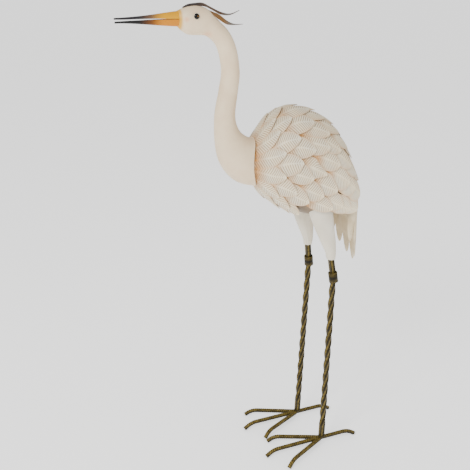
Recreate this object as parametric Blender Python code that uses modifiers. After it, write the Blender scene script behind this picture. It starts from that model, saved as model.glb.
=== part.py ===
"""Garden statue of a standing white wading bird, made of painted sheet steel on twisted bar legs.

The bird faces -Y and stands on Z = 0. Sizes are in millimetres, turned to metres where a mesh is made.
"""

import math

import bmesh
import bpy
from mathutils import Vector

MM = 0.001
GAP = 0.3  # left between neighbouring pieces
FIGURE_HEIGHT = 905.0
DRAWN_HEIGHT = 905.0  # the height of the figure that the free-form tables are drawn for

# Sheet metal
SHEET = 1.0

# Leaf feathers: each rises from its root to its tip, so that a row lies over the roots of the rows behind it
LEAF_LENGTH = 65.0  # on the flank
LEAF_BASE = 1.8  # height of a leaf's root over the body
LEAF_RISE = 0.108  # height gained for one unit of length
LEAF_CREASE = 0.8  # height of the midrib over the edges
LEAF_ROOT_CREASE = 0.3  # share of that height at the root
LEAF_SLIT = 0.8  # between neighbouring pieces of one row
LEAF_SHOULDER = 2.4  # more keeps a leaf wide for longer

# Tail strips: neighbours in one surface that leaves the body and hangs
TAIL_STRIPS = 7
TAIL_CELL = 34.0  # degrees round the body between the strips
TAIL_WIDEST = 102.0  # degrees from the back to the outermost strips
TAIL_PLAN_ANGLE = 84.0  # of the outermost tips, from straight behind
TAIL_ROOT = 236.8  # distance of the strips' roots along the body
TAIL_LEAD = 9.2  # length that gives the direction in which a strip leaves the body
TAIL_LIFT = 2.5  # over the body
TAIL_EARLIER = 0.38  # of the length left on the body, how much sooner the outermost strips leave it
TAIL_SWING = 0.17  # how far the strips swing out before they fall
TAIL_SHARES = (-1.0, -0.67, -0.33, 0.0, 0.17, 0.33, 0.5, 0.67, 0.8, 0.9, 0.96, 1.0)
TAIL_SLIT = 1.6
TAIL_TAPER_FROM = 0.6
TAIL_TAPER_POWER = 2.2
TAIL_CROWN = 1.2  # height of a strip's middle over its edges
TAIL_TIP_HEIGHT = 389.0
TAIL_SIDE_RISE = 57.0  # of the outermost tips over the middle one
TAIL_SIDE_POWER = 1.4
TAIL_FALL = 0.9  # how straight down the strips run
TAIL_CENTRE_Y = 53.0  # of the oval that the tips hang on
TAIL_HALF_WIDTH = 37.0
TAIL_HALF_DEPTH = 36.0

# Legs and feet
LEG_BAR = 10.0  # across the flats of the square bar
LEG_TWIST_PITCH = 110.0  # length of one full turn
LEG_STRAIGHT_END = 24.0  # untwisted length above the foot
TOE_ROD = 9.3  # over the core of 10 mm ribbed rod
TOE_HEIGHT = 15.0  # of the rods' axis where they run level
TOE_BEND = 0.9  # rod diameters from a bend's corner to its ends
TOE_BEND_SHARPNESS = 0.4
OUTER_TOE_ANGLE = 26.8  # outwards from straight ahead
INNER_TOES_APART = 1.2  # between the two feet's inner toes at their tips
TOE_START = 0.2  # rod diameters between the ankle and a side toe's first point, before it is cut
ANKLE_SPREAD = 109.0  # between the two legs' feet
KNEE_SLEEVE_LENGTH = 21.0
KNEE_SLEEVE_WALL = 1.0
KNEE_SLEEVE_PLAY = 1.7  # round the bars' corners, which meet in it at an angle
KNEE_MITRE = 0.1  # bar widths that the bend of the knee takes from the upper bar
THIGH_BAR_LENGTH = 78.0
THIGH_WALL = 1.0

# Head
EYE_DIAMETER = 9.5
EYE_SOCKET_PLAY = 0.3

# Neck and head sections from the face back and down to the collar:
# y, z, half thickness, half width, lean of the section's upper end towards the rear in degrees
NECK_SECTIONS = (
    (-281.5, 879.5, 13.5, 11.0, 0.0),
    (-275.0, 878.0, 18.0, 14.5, 2.0),
    (-263.0, 876.5, 23.3, 18.0, 2.0),
    (-247.0, 876.2, 24.6, 19.5, 0.0),
    (-233.0, 873.0, 22.3, 19.2, 9.0),
    (-224.5, 867.5, 19.2, 18.2, 16.5),
    (-213.5, 858.0, 16.8, 17.2, 28.0),
    (-203.3, 848.0, 16.3, 16.5, 42.0),
    (-195.0, 834.0, 16.6, 16.5, 54.0),
    (-189.5, 817.0, 16.6, 16.5, 70.5),
    (-186.0, 796.0, 16.5, 16.5, 88.0),
    (-185.5, 780.0, 16.8, 16.8, 93.0),
    (-188.0, 763.0, 17.2, 17.2, 98.0),
    (-191.0, 745.0, 17.6, 17.6, 99.0),
    (-194.3, 728.0, 18.2, 18.2, 97.0),
    (-196.5, 710.0, 19.0, 19.0, 92.0),
    (-195.5, 690.0, 21.0, 20.5, 82.0),
    (-191.0, 670.0, 25.5, 25.0, 70.5),
    (-182.0, 651.0, 33.0, 31.0, 57.5),
    (-172.0, 637.5, 38.5, 35.5, 43.5),
    (-158.0, 625.0, 43.0, 38.0, 22.5),
    (-140.0, 619.5, 46.0, 38.8, -1.2),
)
COLLAR_SADDLE = 16.0  # how far the collar's sides run forward of its top and bottom
COLLAR_SADDLE_SHARES = {19: 0.25, 20: 0.6, 21: 1.0}
COLLAR_LIP = 1.4
POCKET_DEPTH = 13.5
POCKET_HALF_HEIGHT = 41.6
POCKET_HALF_WIDTH = 34.3

# Body sections from the collar to the tail: top y, top z, bottom y, bottom z, half width
BODY_SECTIONS = (
    (-151.5, 656.0, -149.0, 584.0, 28.8),
    (-139.5, 658.0, -137.5, 581.5, 30.8),
    (-116.5, 682.0, -118.0, 558.0, 48.0),
    (-91.0, 703.5, -98.0, 543.0, 59.0),
    (-62.0, 712.0, -76.0, 528.0, 65.0),
    (-20.0, 700.0, -45.0, 512.0, 68.0),
    (18.0, 669.0, -10.0, 504.0, 67.0),
    (45.5, 621.0, 22.5, 503.0, 61.0),
    (62.5, 575.0, 48.0, 504.0, 50.0),
    (72.0, 534.0, 67.0, 507.0, 34.0),
)
BODY_FULLNESS_TOP = 2.1  # 2 is an ellipse, more is boxier
BODY_FULLNESS_BELLY = 2.7
BODY_FULLNESS_COLLAR = 2.0
BELLY_FULL_FROM = 90.0  # distance from the collar where the belly reaches its fullness
BODY_SADDLE_FADE = 50.0
BODY_NOSE = -5.0  # of the body's closed front behind its foremost edge, inside the collar
POCKET_NOSE = 1.0  # of the pocket's bottom ahead of its foremost edge
END_RING_SHARE = 0.3

# Leaf rows: distance of the roots from the collar, leaves in the row, angles where the row starts and ends,
# point of the tips
LEAF_ROWS = (
    (0.0, 12, 0.0, 360.0, 1.0),
    (22.0, 12, -15.0, 345.0, 1.0),
    (49.0, 13, -104.0, 256.0, 1.0),
    (76.0, 11, -31.0, 211.0, 0.9),
    (103.0, 12, -42.0, 222.0, 0.8),
    (130.0, 10, -35.0, 215.0, 0.7),
    (155.0, 9, -41.0, 221.0, 0.6),
    (178.0, 8, -42.0, 222.0, 0.5),
)
LEAVES_TOGETHER = 3  # neighbours in a row that are one piece
LEAF_STATIONS = (0.0, 0.45, 0.72, 0.91)
LEAF_STATION_AT_COLLAR = 0.27  # one more in the first row, which bends where it leaves the collar
LEAF_COLUMNS = (-1.0, 0.0, 1.0)

# Thigh sections upwards: x, y, z, half width across, half depth along Y
THIGH_SECTIONS = (
    (47.1, 8.8, 419.0, 8.6, 8.6),
    (46.3, 8.2, 431.0, 9.8, 10.4),
    (44.5, 2.0, 456.0, 12.0, 15.8),
    (42.0, -6.0, 485.0, 14.2, 20.6),
    (39.0, -12.0, 512.0, 15.5, 24.5),
    (37.0, -17.0, 540.0, 16.5, 27.5),
)
KNEE = (50.0, 14.0, 380.5)
THIGH_BAR_TOP = (45.6, 6.0, 440.0)

# Toes of one foot: reach to the bend, reach from the bend to the tip
OUTER_TOE = (101.6, 16.7)
INNER_TOE = (100.5, 14.7)
MIDDLE_TOE = (113.0, 19.1)
REAR_TOE = (63.4, 20.0)

# Beak: y, upper edge z, lower edge z, half width, from the face to the tip
BEAK_UPPER = (
    (-281.9, 892.4, 880.0, 10.2),
    (-300.0, 890.6, 880.6, 8.6),
    (-325.0, 887.8, 881.2, 6.4),
    (-350.0, 885.7, 881.2, 4.5),
    (-375.0, 884.4, 880.9, 3.0),
    (-391.0, 884.0, 881.2, 1.9),
)
BEAK_LOWER = (
    (-281.9, 879.2, 866.9, 10.2),
    (-300.0, 879.4, 868.2, 8.6),
    (-325.0, 879.2, 870.6, 6.4),
    (-350.0, 878.8, 873.0, 4.5),
    (-375.0, 878.4, 874.7, 3.0),
    (-390.0, 877.9, 875.0, 1.9),
)

# Crest plumes: y, z of the middle line, half width, lean of the plume's near edge downwards in degrees, x
CREST_UPPER = (
    (-273.0, 898.6, 1.6, 8.0, 0.0),
    (-262.0, 902.4, 4.2, 16.0, 0.0),
    (-248.0, 903.4, 5.6, 20.0, 0.0),
    (-234.0, 902.6, 6.2, 26.0, -0.5),
    (-219.0, 895.6, 5.0, 30.0, -1.5),
    (-202.0, 887.6, 3.4, 42.0, -3.0),
    (-184.0, 884.8, 1.7, 34.0, -5.0),
    (-165.0, 890.6, 0.5, 20.0, -7.0),
)
CREST_LOWER = (
    (-228.0, 893.8, 2.0, 16.0, 3.5),
    (-219.0, 887.6, 4.9, 38.0, 6.4),
    (-207.0, 880.8, 6.4, 52.0, 7.0),
    (-196.0, 873.2, 4.6, 52.0, 9.0),
    (-183.0, 869.0, 1.7, 35.0, 10.5),
    (-167.0, 868.8, 0.5, 20.0, 12.0),
)
CREST_THICKNESS = 0.8
CREST_DROOP = 0.12  # half widths that a plume's edges hang under its middle
EYE = (19.0, -254.5, 884.0)

SCALE = FIGURE_HEIGHT / DRAWN_HEIGHT
RING_SIDES = 16
BODY_SIDES = 20
BODY_STEPS = 16


def drawn(point):
    """A drawn place or size at the figure's real height."""
    return tuple(value * SCALE for value in point)


def scaled_table(table, lengths):
    """The table with its first so many columns brought to the figure's height, the rest kept."""
    return [drawn(row[:lengths]) + tuple(row[lengths:]) for row in table]


def material(name, colour, roughness, metallic=0.0):
    found = bpy.data.materials.new(name)
    found.use_nodes = True
    shader = found.node_tree.nodes["Principled BSDF"]
    shader.inputs["Base Color"].default_value = (*colour, 1.0)
    shader.inputs["Roughness"].default_value = roughness
    shader.inputs["Metallic"].default_value = metallic
    return found


def add_object(name, mesh, finish, collection, place=(0.0, 0.0, 0.0)):
    """Puts a mesh made in millimetres round its own origin at a place in the figure."""
    mesh.materials.append(finish)
    mesh.shade_smooth()
    mesh.set_sharp_from_angle(angle=math.radians(35))
    found = bpy.data.objects.new(name, mesh)
    found.location = Vector(place) * MM
    found.parent = bpy.data.objects["figure"]
    collection.objects.link(found)
    return found


def mesh_from(name, points, faces):
    """A mesh in metres from points in millimetres, its faces turned outwards where it is closed."""
    mesh = bpy.data.meshes.new(name)
    mesh.from_pydata([Vector(p) * MM for p in points], [], faces)
    shape = bmesh.new()
    shape.from_mesh(mesh)
    bmesh.ops.remove_doubles(shape, verts=shape.verts, dist=1e-6)
    if all(not edge.is_boundary for edge in shape.edges):
        bmesh.ops.recalc_face_normals(shape, faces=shape.faces)
    shape.to_mesh(mesh)
    shape.free()
    return mesh


def loft(name, rings):
    """A closed solid through rings of points, flat at both ends."""
    sides = len(rings[0])
    points = [p for ring in rings for p in ring]
    faces = [tuple(range(sides)), tuple(reversed(range(len(points) - sides, len(points))))]
    for r in range(len(rings) - 1):
        for i in range(sides):
            j = (i + 1) % sides
            faces.append((r * sides + i, r * sides + j, (r + 1) * sides + j, (r + 1) * sides + i))
    return mesh_from(name, points, faces)


def sheet(rows):
    """An open surface through rows of points; a row of one point is a tip."""
    points = []
    faces = []
    starts = []
    for row in rows:
        starts.append(len(points))
        points.extend(row)
    for r in range(len(rows) - 1):
        for i in range(len(rows[r]) - 1):
            a = starts[r] + i
            if len(rows[r + 1]) == 1:
                faces.append((a, a + 1, starts[r + 1]))
            else:
                b = starts[r + 1] + i
                faces.append((a, a + 1, b + 1, b))
    return points, faces


def thicken(found, thickness, offset):
    """Gives an open surface its wall; offset 1 grows it outwards along its normals."""
    wall = found.modifiers.new("wall", "SOLIDIFY")
    wall.thickness = thickness * MM
    wall.offset = offset
    return found


def smooth_at(knots, rows, where):
    """Reads a table of rows at a distance along it, on one smooth curve through all of them."""
    where = min(max(where, knots[0]), knots[-1])
    i = 0
    while i < len(knots) - 2 and where > knots[i + 1]:
        i += 1
    span = knots[i + 1] - knots[i]
    t = (where - knots[i]) / span
    before = max(i - 1, 0)
    after = min(i + 2, len(rows) - 1)
    found = []
    for k in range(len(rows[0])):
        start = (rows[i + 1][k] - rows[before][k]) / (knots[i + 1] - knots[before]) * span
        end = (rows[after][k] - rows[i][k]) / (knots[after] - knots[i]) * span
        a = rows[i][k]
        b = rows[i + 1][k]
        found.append(
            (2 * t**3 - 3 * t**2 + 1) * a
            + (t**3 - 2 * t**2 + t) * start
            + (3 * t**2 - 2 * t**3) * b
            + (t**3 - t**2) * end
        )
    return found


def squarish(angle, half_width, half_height, fullness):
    """A point of a superellipse, measured from its middle."""
    c = math.cos(angle)
    s = math.sin(angle)
    x = half_width * math.copysign(abs(c) ** (2 / fullness), c)
    z = half_height * math.copysign(abs(s) ** (2 / fullness), s)
    return x, z


BODY_ROWS = scaled_table(BODY_SECTIONS, 5)
BODY_KNOTS = [0.0]
for first, second in zip(BODY_ROWS, BODY_ROWS[1:]):
    ahead = ((second[0] + second[2]) - (first[0] + first[2])) / 2
    down = ((second[1] + second[3]) - (first[1] + first[3])) / 2
    BODY_KNOTS.append(BODY_KNOTS[-1] + math.hypot(ahead, down, second[4] - first[4]))


def body_skin(along, angle):
    """A point of the body's skin; angle 0 is the bird's left side, 90 its back."""
    top_y, top_z, low_y, low_z, half_width = smooth_at(BODY_KNOTS, BODY_ROWS, along)
    half_height = math.hypot(top_y - low_y, top_z - low_z) / 2
    turn = math.radians(angle)
    full = min(1.0, along / (BELLY_FULL_FROM * SCALE))
    fullness = BODY_FULLNESS_TOP if math.sin(turn) > 0 else BODY_FULLNESS_BELLY
    fullness = BODY_FULLNESS_COLLAR + (fullness - BODY_FULLNESS_COLLAR) * full
    x, up = squarish(turn, half_width, half_height, fullness)
    share = up / half_height / 2
    fade = max(0.0, 1.0 - along / (BODY_SADDLE_FADE * SCALE)) ** 2
    saddle = COLLAR_SADDLE * SCALE * fade * math.cos(turn) ** 2
    y = (top_y + low_y) / 2 + share * (top_y - low_y) - saddle
    z = (top_z + low_z) / 2 + share * (top_z - low_z)
    return Vector((x, y, z))


def over_body(along, angle, height):
    """A point that stands off the body's skin along its normal."""
    step = 0.5
    last = BODY_KNOTS[-1] - step
    here = min(along, last)
    point = body_skin(here, angle)
    forward = body_skin(here + step, angle) - body_skin(here - step, angle)
    around = body_skin(here, angle + step) - body_skin(here, angle - step)
    normal = around.cross(forward).normalized()
    if normal.dot(Vector((math.cos(math.radians(angle)), 0.0, math.sin(math.radians(angle))))) < 0:
        normal = -normal
    beyond = forward.normalized() * max(0.0, along - last)
    return point + beyond + normal * height


def stretch(along, angle):
    """How long the skin is there for one unit of distance along the body."""
    step = 2.0
    here = min(max(along, step), BODY_KNOTS[-1] - step)
    return (body_skin(here + step, angle) - body_skin(here - step, angle)).length / (2 * step)


def body_mesh(name, grown=0.0):
    steps = BODY_STEPS
    rings = []
    for i in range(steps):
        along = BODY_KNOTS[-1] * i / (steps - 1)
        angles = [360.0 * k / BODY_SIDES for k in range(BODY_SIDES)]
        if grown:
            rings.append([over_body(along, angle, grown) for angle in angles])
        else:
            rings.append([body_skin(along, angle) for angle in angles])
    return loft(name, [front_of(rings[0], BODY_NOSE)] + rings)


def front_of(ring, ahead):
    """A small ring ahead of a saddle-shaped one, which ends a loft without a twisted cap."""
    middle = sum((Vector(point) for point in ring), Vector()) / len(ring)
    foremost = min(point[1] for point in ring)
    found = []
    for point in ring:
        x = middle.x + (point[0] - middle.x) * END_RING_SHARE
        z = middle.z + (point[2] - middle.z) * END_RING_SHARE
        found.append((x, foremost - ahead * SCALE, z))
    return found


def neck_ring(section, saddle=0.0, shrink=0.0):
    """One ring of the neck, its first point on the bird's left."""
    y, z, half_thick, half_width, lean = section
    points = []
    for k in range(RING_SIDES):
        angle = math.tau * k / RING_SIDES
        x = (half_width - shrink) * math.cos(angle)
        up = (half_thick - shrink) * math.sin(angle)
        along_y = up * math.sin(math.radians(lean)) - saddle * math.cos(angle) ** 2
        points.append((x, y + along_y, z + up * math.cos(math.radians(lean))))
    return points


def make_neck_and_head(finish, collection):
    sections = scaled_table(NECK_SECTIONS, 4)
    rings = []
    for i, section in enumerate(sections):
        saddle = COLLAR_SADDLE * SCALE * COLLAR_SADDLE_SHARES.get(i, 0.0)
        rings.append(neck_ring(section, saddle))
    collar = sections[-1]
    full_saddle = COLLAR_SADDLE * SCALE
    rings.append(neck_ring(collar, full_saddle, COLLAR_LIP))
    depth, half_height, half_width = drawn((POCKET_DEPTH, POCKET_HALF_HEIGHT, POCKET_HALF_WIDTH))
    pocket = (collar[0] - depth, collar[1], half_height, half_width, collar[4])
    rings.append(neck_ring(pocket, full_saddle))
    rings.append(front_of(rings[-1], POCKET_NOSE))
    found = add_object("neck_and_head", loft("neck_and_head", rings), finish, collection)
    for side in (1, -1):
        socket = add_ball("eye_socket", EYE_DIAMETER / 2 + EYE_SOCKET_PLAY, side)
        socket.hide_render = True
        socket.display_type = "WIRE"
        cut = found.modifiers.new("eye socket", "BOOLEAN")
        cut.operation = "DIFFERENCE"
        cut.object = socket
    return found


def add_ball(name, radius, side, collection_name="cutters"):
    x, y, z = drawn(EYE)
    mesh = bpy.data.meshes.new(name)
    shape = bmesh.new()
    bmesh.ops.create_uvsphere(shape, u_segments=12, v_segments=6, radius=radius * MM)
    shape.to_mesh(mesh)
    shape.free()
    found = bpy.data.objects.new(name, mesh)
    found.location = Vector((side * x, y, z)) * MM
    found.parent = bpy.data.objects["figure"]
    bpy.data.collections[collection_name].objects.link(found)
    return found


def make_eyes(finish, collection):
    for side, word in ((1, "left"), (-1, "right")):
        eye = add_ball(f"eye_{word}", EYE_DIAMETER / 2, side, collection.name)
        eye.data.materials.append(finish)
        eye.data.shade_smooth()


def beak_ring(section, upper):
    """A half oval ring, flat on the side of the mouth."""
    y, high, low, half_width = section
    flat = low if upper else high
    rise = high - low if upper else low - high
    arc = [math.pi * k / 6 for k in range(7)]
    return [(half_width * math.cos(a), y, flat + rise * math.sin(a)) for a in arc]


def make_beak(finish, collection):
    for name, table, upper in (("beak_upper", BEAK_UPPER, True), ("beak_lower", BEAK_LOWER, False)):
        rings = [beak_ring(section, upper) for section in scaled_table(table, 4)]
        add_object(name, loft(name, rings), finish, collection)


def make_crest(finish, collection):
    for name, table in (("crest_plume_upper", CREST_UPPER), ("crest_plume_lower", CREST_LOWER)):
        rows = []
        for y, z, half_width, lean, x in table:
            y, z, half_width, x = drawn((y, z, half_width, x))
            turn = math.radians(lean)
            across = Vector((math.cos(turn), 0.0, -math.sin(turn))) * half_width
            middle = Vector((x, y, z))
            droop = Vector((0.0, 0.0, -CREST_DROOP * half_width))
            rows.append([middle + across + droop, middle, middle - across + droop])
        points, faces = sheet(rows)
        plume = add_object(name, mesh_from(name, points, faces), finish, collection)
        thicken(plume, CREST_THICKNESS, 0.0)


def tip_share(share, point):
    """Width of a leaf at a share of its length beyond its middle; a higher point is a sharper tip."""
    past = max(0.0, 2.0 * share - 1.0)
    return (1.0 - past ** (LEAF_SHOULDER - 0.8 * point)) ** (0.45 + 0.45 * point)


def leaf_cover(start, angle):
    """How far a leaf reaches along the body, a little shorter where the body is short."""
    middle = start + LEAF_LENGTH * SCALE / 2
    return LEAF_LENGTH * SCALE / math.sqrt(stretch(middle, angle))


def leaf_rows(start, middle, half_cell, left_edge_free, right_edge_free, point):
    """Rows of points of one leaf, from its root to its tip."""
    rows = []
    stations = LEAF_STATIONS if start > 0.0 else sorted((*LEAF_STATIONS, LEAF_STATION_AT_COLLAR))
    for share in stations:
        points = []
        for column in LEAF_COLUMNS:
            along = start + share * leaf_cover(start, middle + column * half_cell)
            reach = column * half_cell * tip_share(share, point)
            around = (body_skin(along, middle + 0.5) - body_skin(along, middle - 0.5)).length
            if column == LEAF_COLUMNS[0] and right_edge_free:
                reach += LEAF_SLIT / 2 / around
            if column == LEAF_COLUMNS[-1] and left_edge_free:
                reach -= LEAF_SLIT / 2 / around
            height = LEAF_BASE + LEAF_RISE * (along - start)
            height += LEAF_CREASE * (1 - abs(column)) * min(1.0, LEAF_ROOT_CREASE + share)
            points.append(over_body(along, middle + reach, height))
        rows.append(points)
    cover = leaf_cover(start, middle)
    rows.append([over_body(start + cover, middle, LEAF_BASE + LEAF_RISE * cover)])
    return rows


def make_feathers(finish, collection):
    """Leaves of one row, in pieces whose leaves touch along their roots."""
    for row, (root, count, low, high, point) in enumerate(LEAF_ROWS):
        cell = (high - low) / count
        for piece, first in enumerate(range(0, count, LEAVES_TOGETHER)):
            members = range(first, min(first + LEAVES_TOGETHER, count))
            points = []
            faces = []
            for member in members:
                middle = low + cell * (member + 0.5)
                left_free = member == members[-1]
                right_free = member == members[0]
                rows = leaf_rows(root * SCALE, middle, cell / 2, left_free, right_free, point)
                more_points, more_faces = sheet(rows)
                faces.extend(tuple(i + len(points) for i in face) for face in more_faces)
                points.extend(more_points)
            word = "feather" if len(members) == 1 else "feathers"
            name = f"{word}_row{row + 1}_{piece + 1}"
            origin = points[0].copy()
            mesh = mesh_from(name, [p - origin for p in points], faces)
            thicken(add_object(name, mesh, finish, collection, origin), SHEET, 1.0)


def tail_place(angle, share):
    """A point of the surface that the tail strips lie in: on the body up to share 0, hanging to share 1."""
    aside = abs(angle - 90.0) / TAIL_WIDEST
    start = TAIL_ROOT * SCALE
    leave = start + (BODY_KNOTS[-1] - start) * (1.0 - TAIL_EARLIER * aside**TAIL_SIDE_POWER)
    if share <= 0.0:
        return over_body(leave + (leave - start) * share, angle, TAIL_LIFT)
    edge = over_body(leave, angle, TAIL_LIFT)
    before = over_body(leave - TAIL_LEAD * SCALE, angle, TAIL_LIFT)
    centre_y, half_width, half_depth = drawn((TAIL_CENTRE_Y, TAIL_HALF_WIDTH, TAIL_HALF_DEPTH))
    turn = math.radians((90.0 - angle) / TAIL_WIDEST * TAIL_PLAN_ANGLE)
    height = (TAIL_TIP_HEIGHT + TAIL_SIDE_RISE * aside**TAIL_SIDE_POWER) * SCALE
    tip = Vector((half_width * math.sin(turn), centre_y + half_depth * math.cos(turn), height))
    fall = Vector((0.0, 0.0, tip.z - edge.z))
    lead = (edge - before).normalized() * fall.length * TAIL_SWING + fall * TAIL_FALL
    t = share
    return (
        edge * (2 * t**3 - 3 * t**2 + 1)
        + lead * (t**3 - 2 * t**2 + t)
        + tip * (3 * t**2 - 2 * t**3)
        + fall * (t**3 - t**2)
    )


def tail_rows(middle):
    """Rows of points of one tail strip, from its root under the last feathers to its tip."""
    rows = []
    for share in TAIL_SHARES[:-1]:
        taper = 1.0 - max(0.0, (share - TAIL_TAPER_FROM) / (1.0 - TAIL_TAPER_FROM)) ** TAIL_TAPER_POWER
        around = (tail_place(middle + 1.0, share) - tail_place(middle - 1.0, share)).length / 2
        reach = (TAIL_CELL / 2 - TAIL_SLIT / 2 / around) * taper
        points = [tail_place(middle + side * reach, share) for side in (-1, 0, 1)]
        out = (points[0] - points[2]).cross(tail_place(middle, share) - tail_place(middle, share - 0.05))
        points[1] = points[1] + out.normalized() * TAIL_CROWN
        rows.append(points)
    rows.append([tail_place(middle, TAIL_SHARES[-1])])
    return rows


def make_tail(finish, collection):
    for index in range(TAIL_STRIPS):
        name = f"tail_strip_{index + 1}"
        middle = 90.0 + TAIL_CELL * (index - (TAIL_STRIPS - 1) / 2)
        points, faces = sheet(tail_rows(middle))
        origin = points[1].copy()
        mesh = mesh_from(name, [p - origin for p in points], faces)
        thicken(add_object(name, mesh, finish, collection, origin), SHEET, 1.0)


def sides_of_figure():
    return ((1, "left"), (-1, "right"))


def make_thighs(finish, collection, body_cutter):
    for side, word in sides_of_figure():
        rings = []
        for x, y, z, half_width, half_depth in scaled_table(THIGH_SECTIONS, 5):
            ring = []
            for k in range(RING_SIDES):
                angle = math.tau * k / RING_SIDES * side
                across = x + half_width * math.cos(angle)
                ring.append((side * across, y + half_depth * math.sin(angle), z))
            rings.append(ring)
        name = f"thigh_{word}"
        points, faces = sheet([ring + [ring[0]] for ring in rings])
        thigh = add_object(name, mesh_from(name, points, faces), finish, collection)
        x, y = drawn(THIGH_SECTIONS[2][:2])
        turn_outwards(thigh, Vector((side * x, y, 0.0)))
        thicken(thigh, THIGH_WALL, -1.0)
        cut = thigh.modifiers.new("body above", "BOOLEAN")
        cut.operation = "DIFFERENCE"
        cut.object = body_cutter


def turn_outwards(found, middle):
    """Turns an open tube's faces away from its middle line."""
    shape = bmesh.new()
    shape.from_mesh(found.data)
    bmesh.ops.recalc_face_normals(shape, faces=shape.faces)
    shape.faces.ensure_lookup_table()
    face = shape.faces[0]
    out = face.calc_center_median() - middle * MM
    out.z = 0.0
    if face.normal.dot(out) < 0:
        bmesh.ops.reverse_faces(shape, faces=shape.faces)
    shape.to_mesh(found.data)
    shape.free()


def bar_rings(start, end, across, turn_at, steps):
    """Square rings from one place to another, turned by a function of the distance along."""
    axis = (end - start).normalized()
    side_on = Vector((1.0, 0.0, 0.0))
    side_on = (side_on - axis * side_on.dot(axis)).normalized()
    other = axis.cross(side_on)
    length = (end - start).length
    rings = []
    for distance in steps(length):
        ring = []
        for corner in range(4):
            angle = math.tau * (corner + 0.5) / 4 + turn_at(distance)
            out = side_on * math.cos(angle) + other * math.sin(angle)
            ring.append(start + axis * distance + out * across / math.sqrt(2))
        rings.append(ring)
    return rings


def knee_place(side):
    x, y, z = drawn(KNEE)
    return Vector((side * x, y, z))


def make_lower_legs(finish, collection):
    for side, word in sides_of_figure():
        start = Vector((side * ANKLE_SPREAD / 2, 0.0, TOE_HEIGHT + TOE_ROD / 2 + GAP))
        end = knee_place(side)

        def turn_at(distance):
            return math.tau * max(0.0, distance - LEG_STRAIGHT_END) / LEG_TWIST_PITCH

        def steps(length):
            count = max(4, round((length - LEG_STRAIGHT_END) / (LEG_TWIST_PITCH / 8)))
            twisted = [LEG_STRAIGHT_END + (length - LEG_STRAIGHT_END) * i / count for i in range(count + 1)]
            return [0.0] + twisted

        rings = bar_rings(Vector(), end - start, LEG_BAR, turn_at, steps)
        mesh = loft(f"lower_leg_{word}", rings)
        add_object(f"lower_leg_{word}", mesh, finish, collection, start)


def thigh_bar_axis(side):
    x, y, z = drawn(THIGH_BAR_TOP)
    return (Vector((side * x, y, z)) - knee_place(side)).normalized()


def make_thigh_bars(finish, collection):
    """Short straight bars from the knees up into the thighs."""
    for side, word in sides_of_figure():
        axis = thigh_bar_axis(side)
        start = knee_place(side) + axis * (LEG_BAR * KNEE_MITRE + GAP)
        end = axis * THIGH_BAR_LENGTH * SCALE
        rings = bar_rings(Vector(), end, LEG_BAR, lambda distance: 0.0, lambda length: (0.0, length))
        mesh = loft(f"thigh_bar_{word}", rings)
        add_object(f"thigh_bar_{word}", mesh, finish, collection, start)


def make_knee_sleeves(finish, collection):
    """Tubes round the joint of the two bars, each a turned wall."""
    inner = LEG_BAR / math.sqrt(2) + KNEE_SLEEVE_PLAY
    for side, word in sides_of_figure():
        half = KNEE_SLEEVE_LENGTH / 2
        outer = inner + KNEE_SLEEVE_WALL
        profile = ((outer, half), (outer, -half), (inner, -half), (inner, half))
        mesh = bpy.data.meshes.new(f"knee_sleeve_{word}")
        shape = bmesh.new()
        rings = []
        for k in range(RING_SIDES):
            c = math.cos(math.tau * k / RING_SIDES)
            s = math.sin(math.tau * k / RING_SIDES)
            rings.append([shape.verts.new(Vector((r * c, r * s, z)) * MM) for r, z in profile])
        for k in range(RING_SIDES):
            following = rings[(k + 1) % RING_SIDES]
            for i in range(4):
                j = (i + 1) % 4
                shape.faces.new((rings[k][i], rings[k][j], following[j], following[i]))
        bmesh.ops.recalc_face_normals(shape, faces=shape.faces)
        shape.to_mesh(mesh)
        shape.free()
        sleeve = add_object(f"knee_sleeve_{word}", mesh, finish, collection, knee_place(side))
        sleeve.rotation_euler = thigh_bar_axis(side).to_track_quat("Z", "X").to_euler()


def rod(name, points, cut_planes):
    """A round rod along a line of points, cut by planes given as a point and the side to remove."""
    curve = bpy.data.curves.new(name, "CURVE")
    curve.dimensions = "3D"
    curve.bevel_depth = TOE_ROD / 2 * MM
    curve.bevel_resolution = 1
    curve.use_fill_caps = True
    spline = curve.splines.new("POLY")
    spline.points.add(len(points) - 1)
    for target, point in zip(spline.points, points):
        target.co = (*(Vector(point) * MM), 1.0)
    wire = bpy.data.objects.new(name + "_wire", curve)
    bpy.context.scene.collection.objects.link(wire)
    bpy.context.view_layer.update()
    evaluated = wire.evaluated_get(bpy.context.evaluated_depsgraph_get())
    mesh = bpy.data.meshes.new_from_object(evaluated)
    mesh.name = name
    bpy.data.objects.remove(wire)
    shape = bmesh.new()
    shape.from_mesh(mesh)
    bmesh.ops.remove_doubles(shape, verts=shape.verts, dist=1e-6)
    for place, away in cut_planes:
        bmesh.ops.bisect_plane(
            shape,
            geom=shape.verts[:] + shape.edges[:] + shape.faces[:],
            dist=1e-7,
            plane_co=Vector(place) * MM,
            plane_no=Vector(away),
            clear_outer=True,
        )
        open_edges = [edge for edge in shape.edges if edge.is_boundary]
        bmesh.ops.holes_fill(shape, edges=open_edges)
    bmesh.ops.recalc_face_normals(shape, faces=shape.faces)
    shape.to_mesh(mesh)
    shape.free()
    return mesh


def tip_slope(beyond):
    """How steeply a toe's tip runs down to the ground, and how long it is."""
    slope = math.atan2(TOE_HEIGHT - TOE_ROD / 4, beyond)
    return slope, TOE_HEIGHT / math.sin(slope) - TOE_ROD / 6


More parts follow.
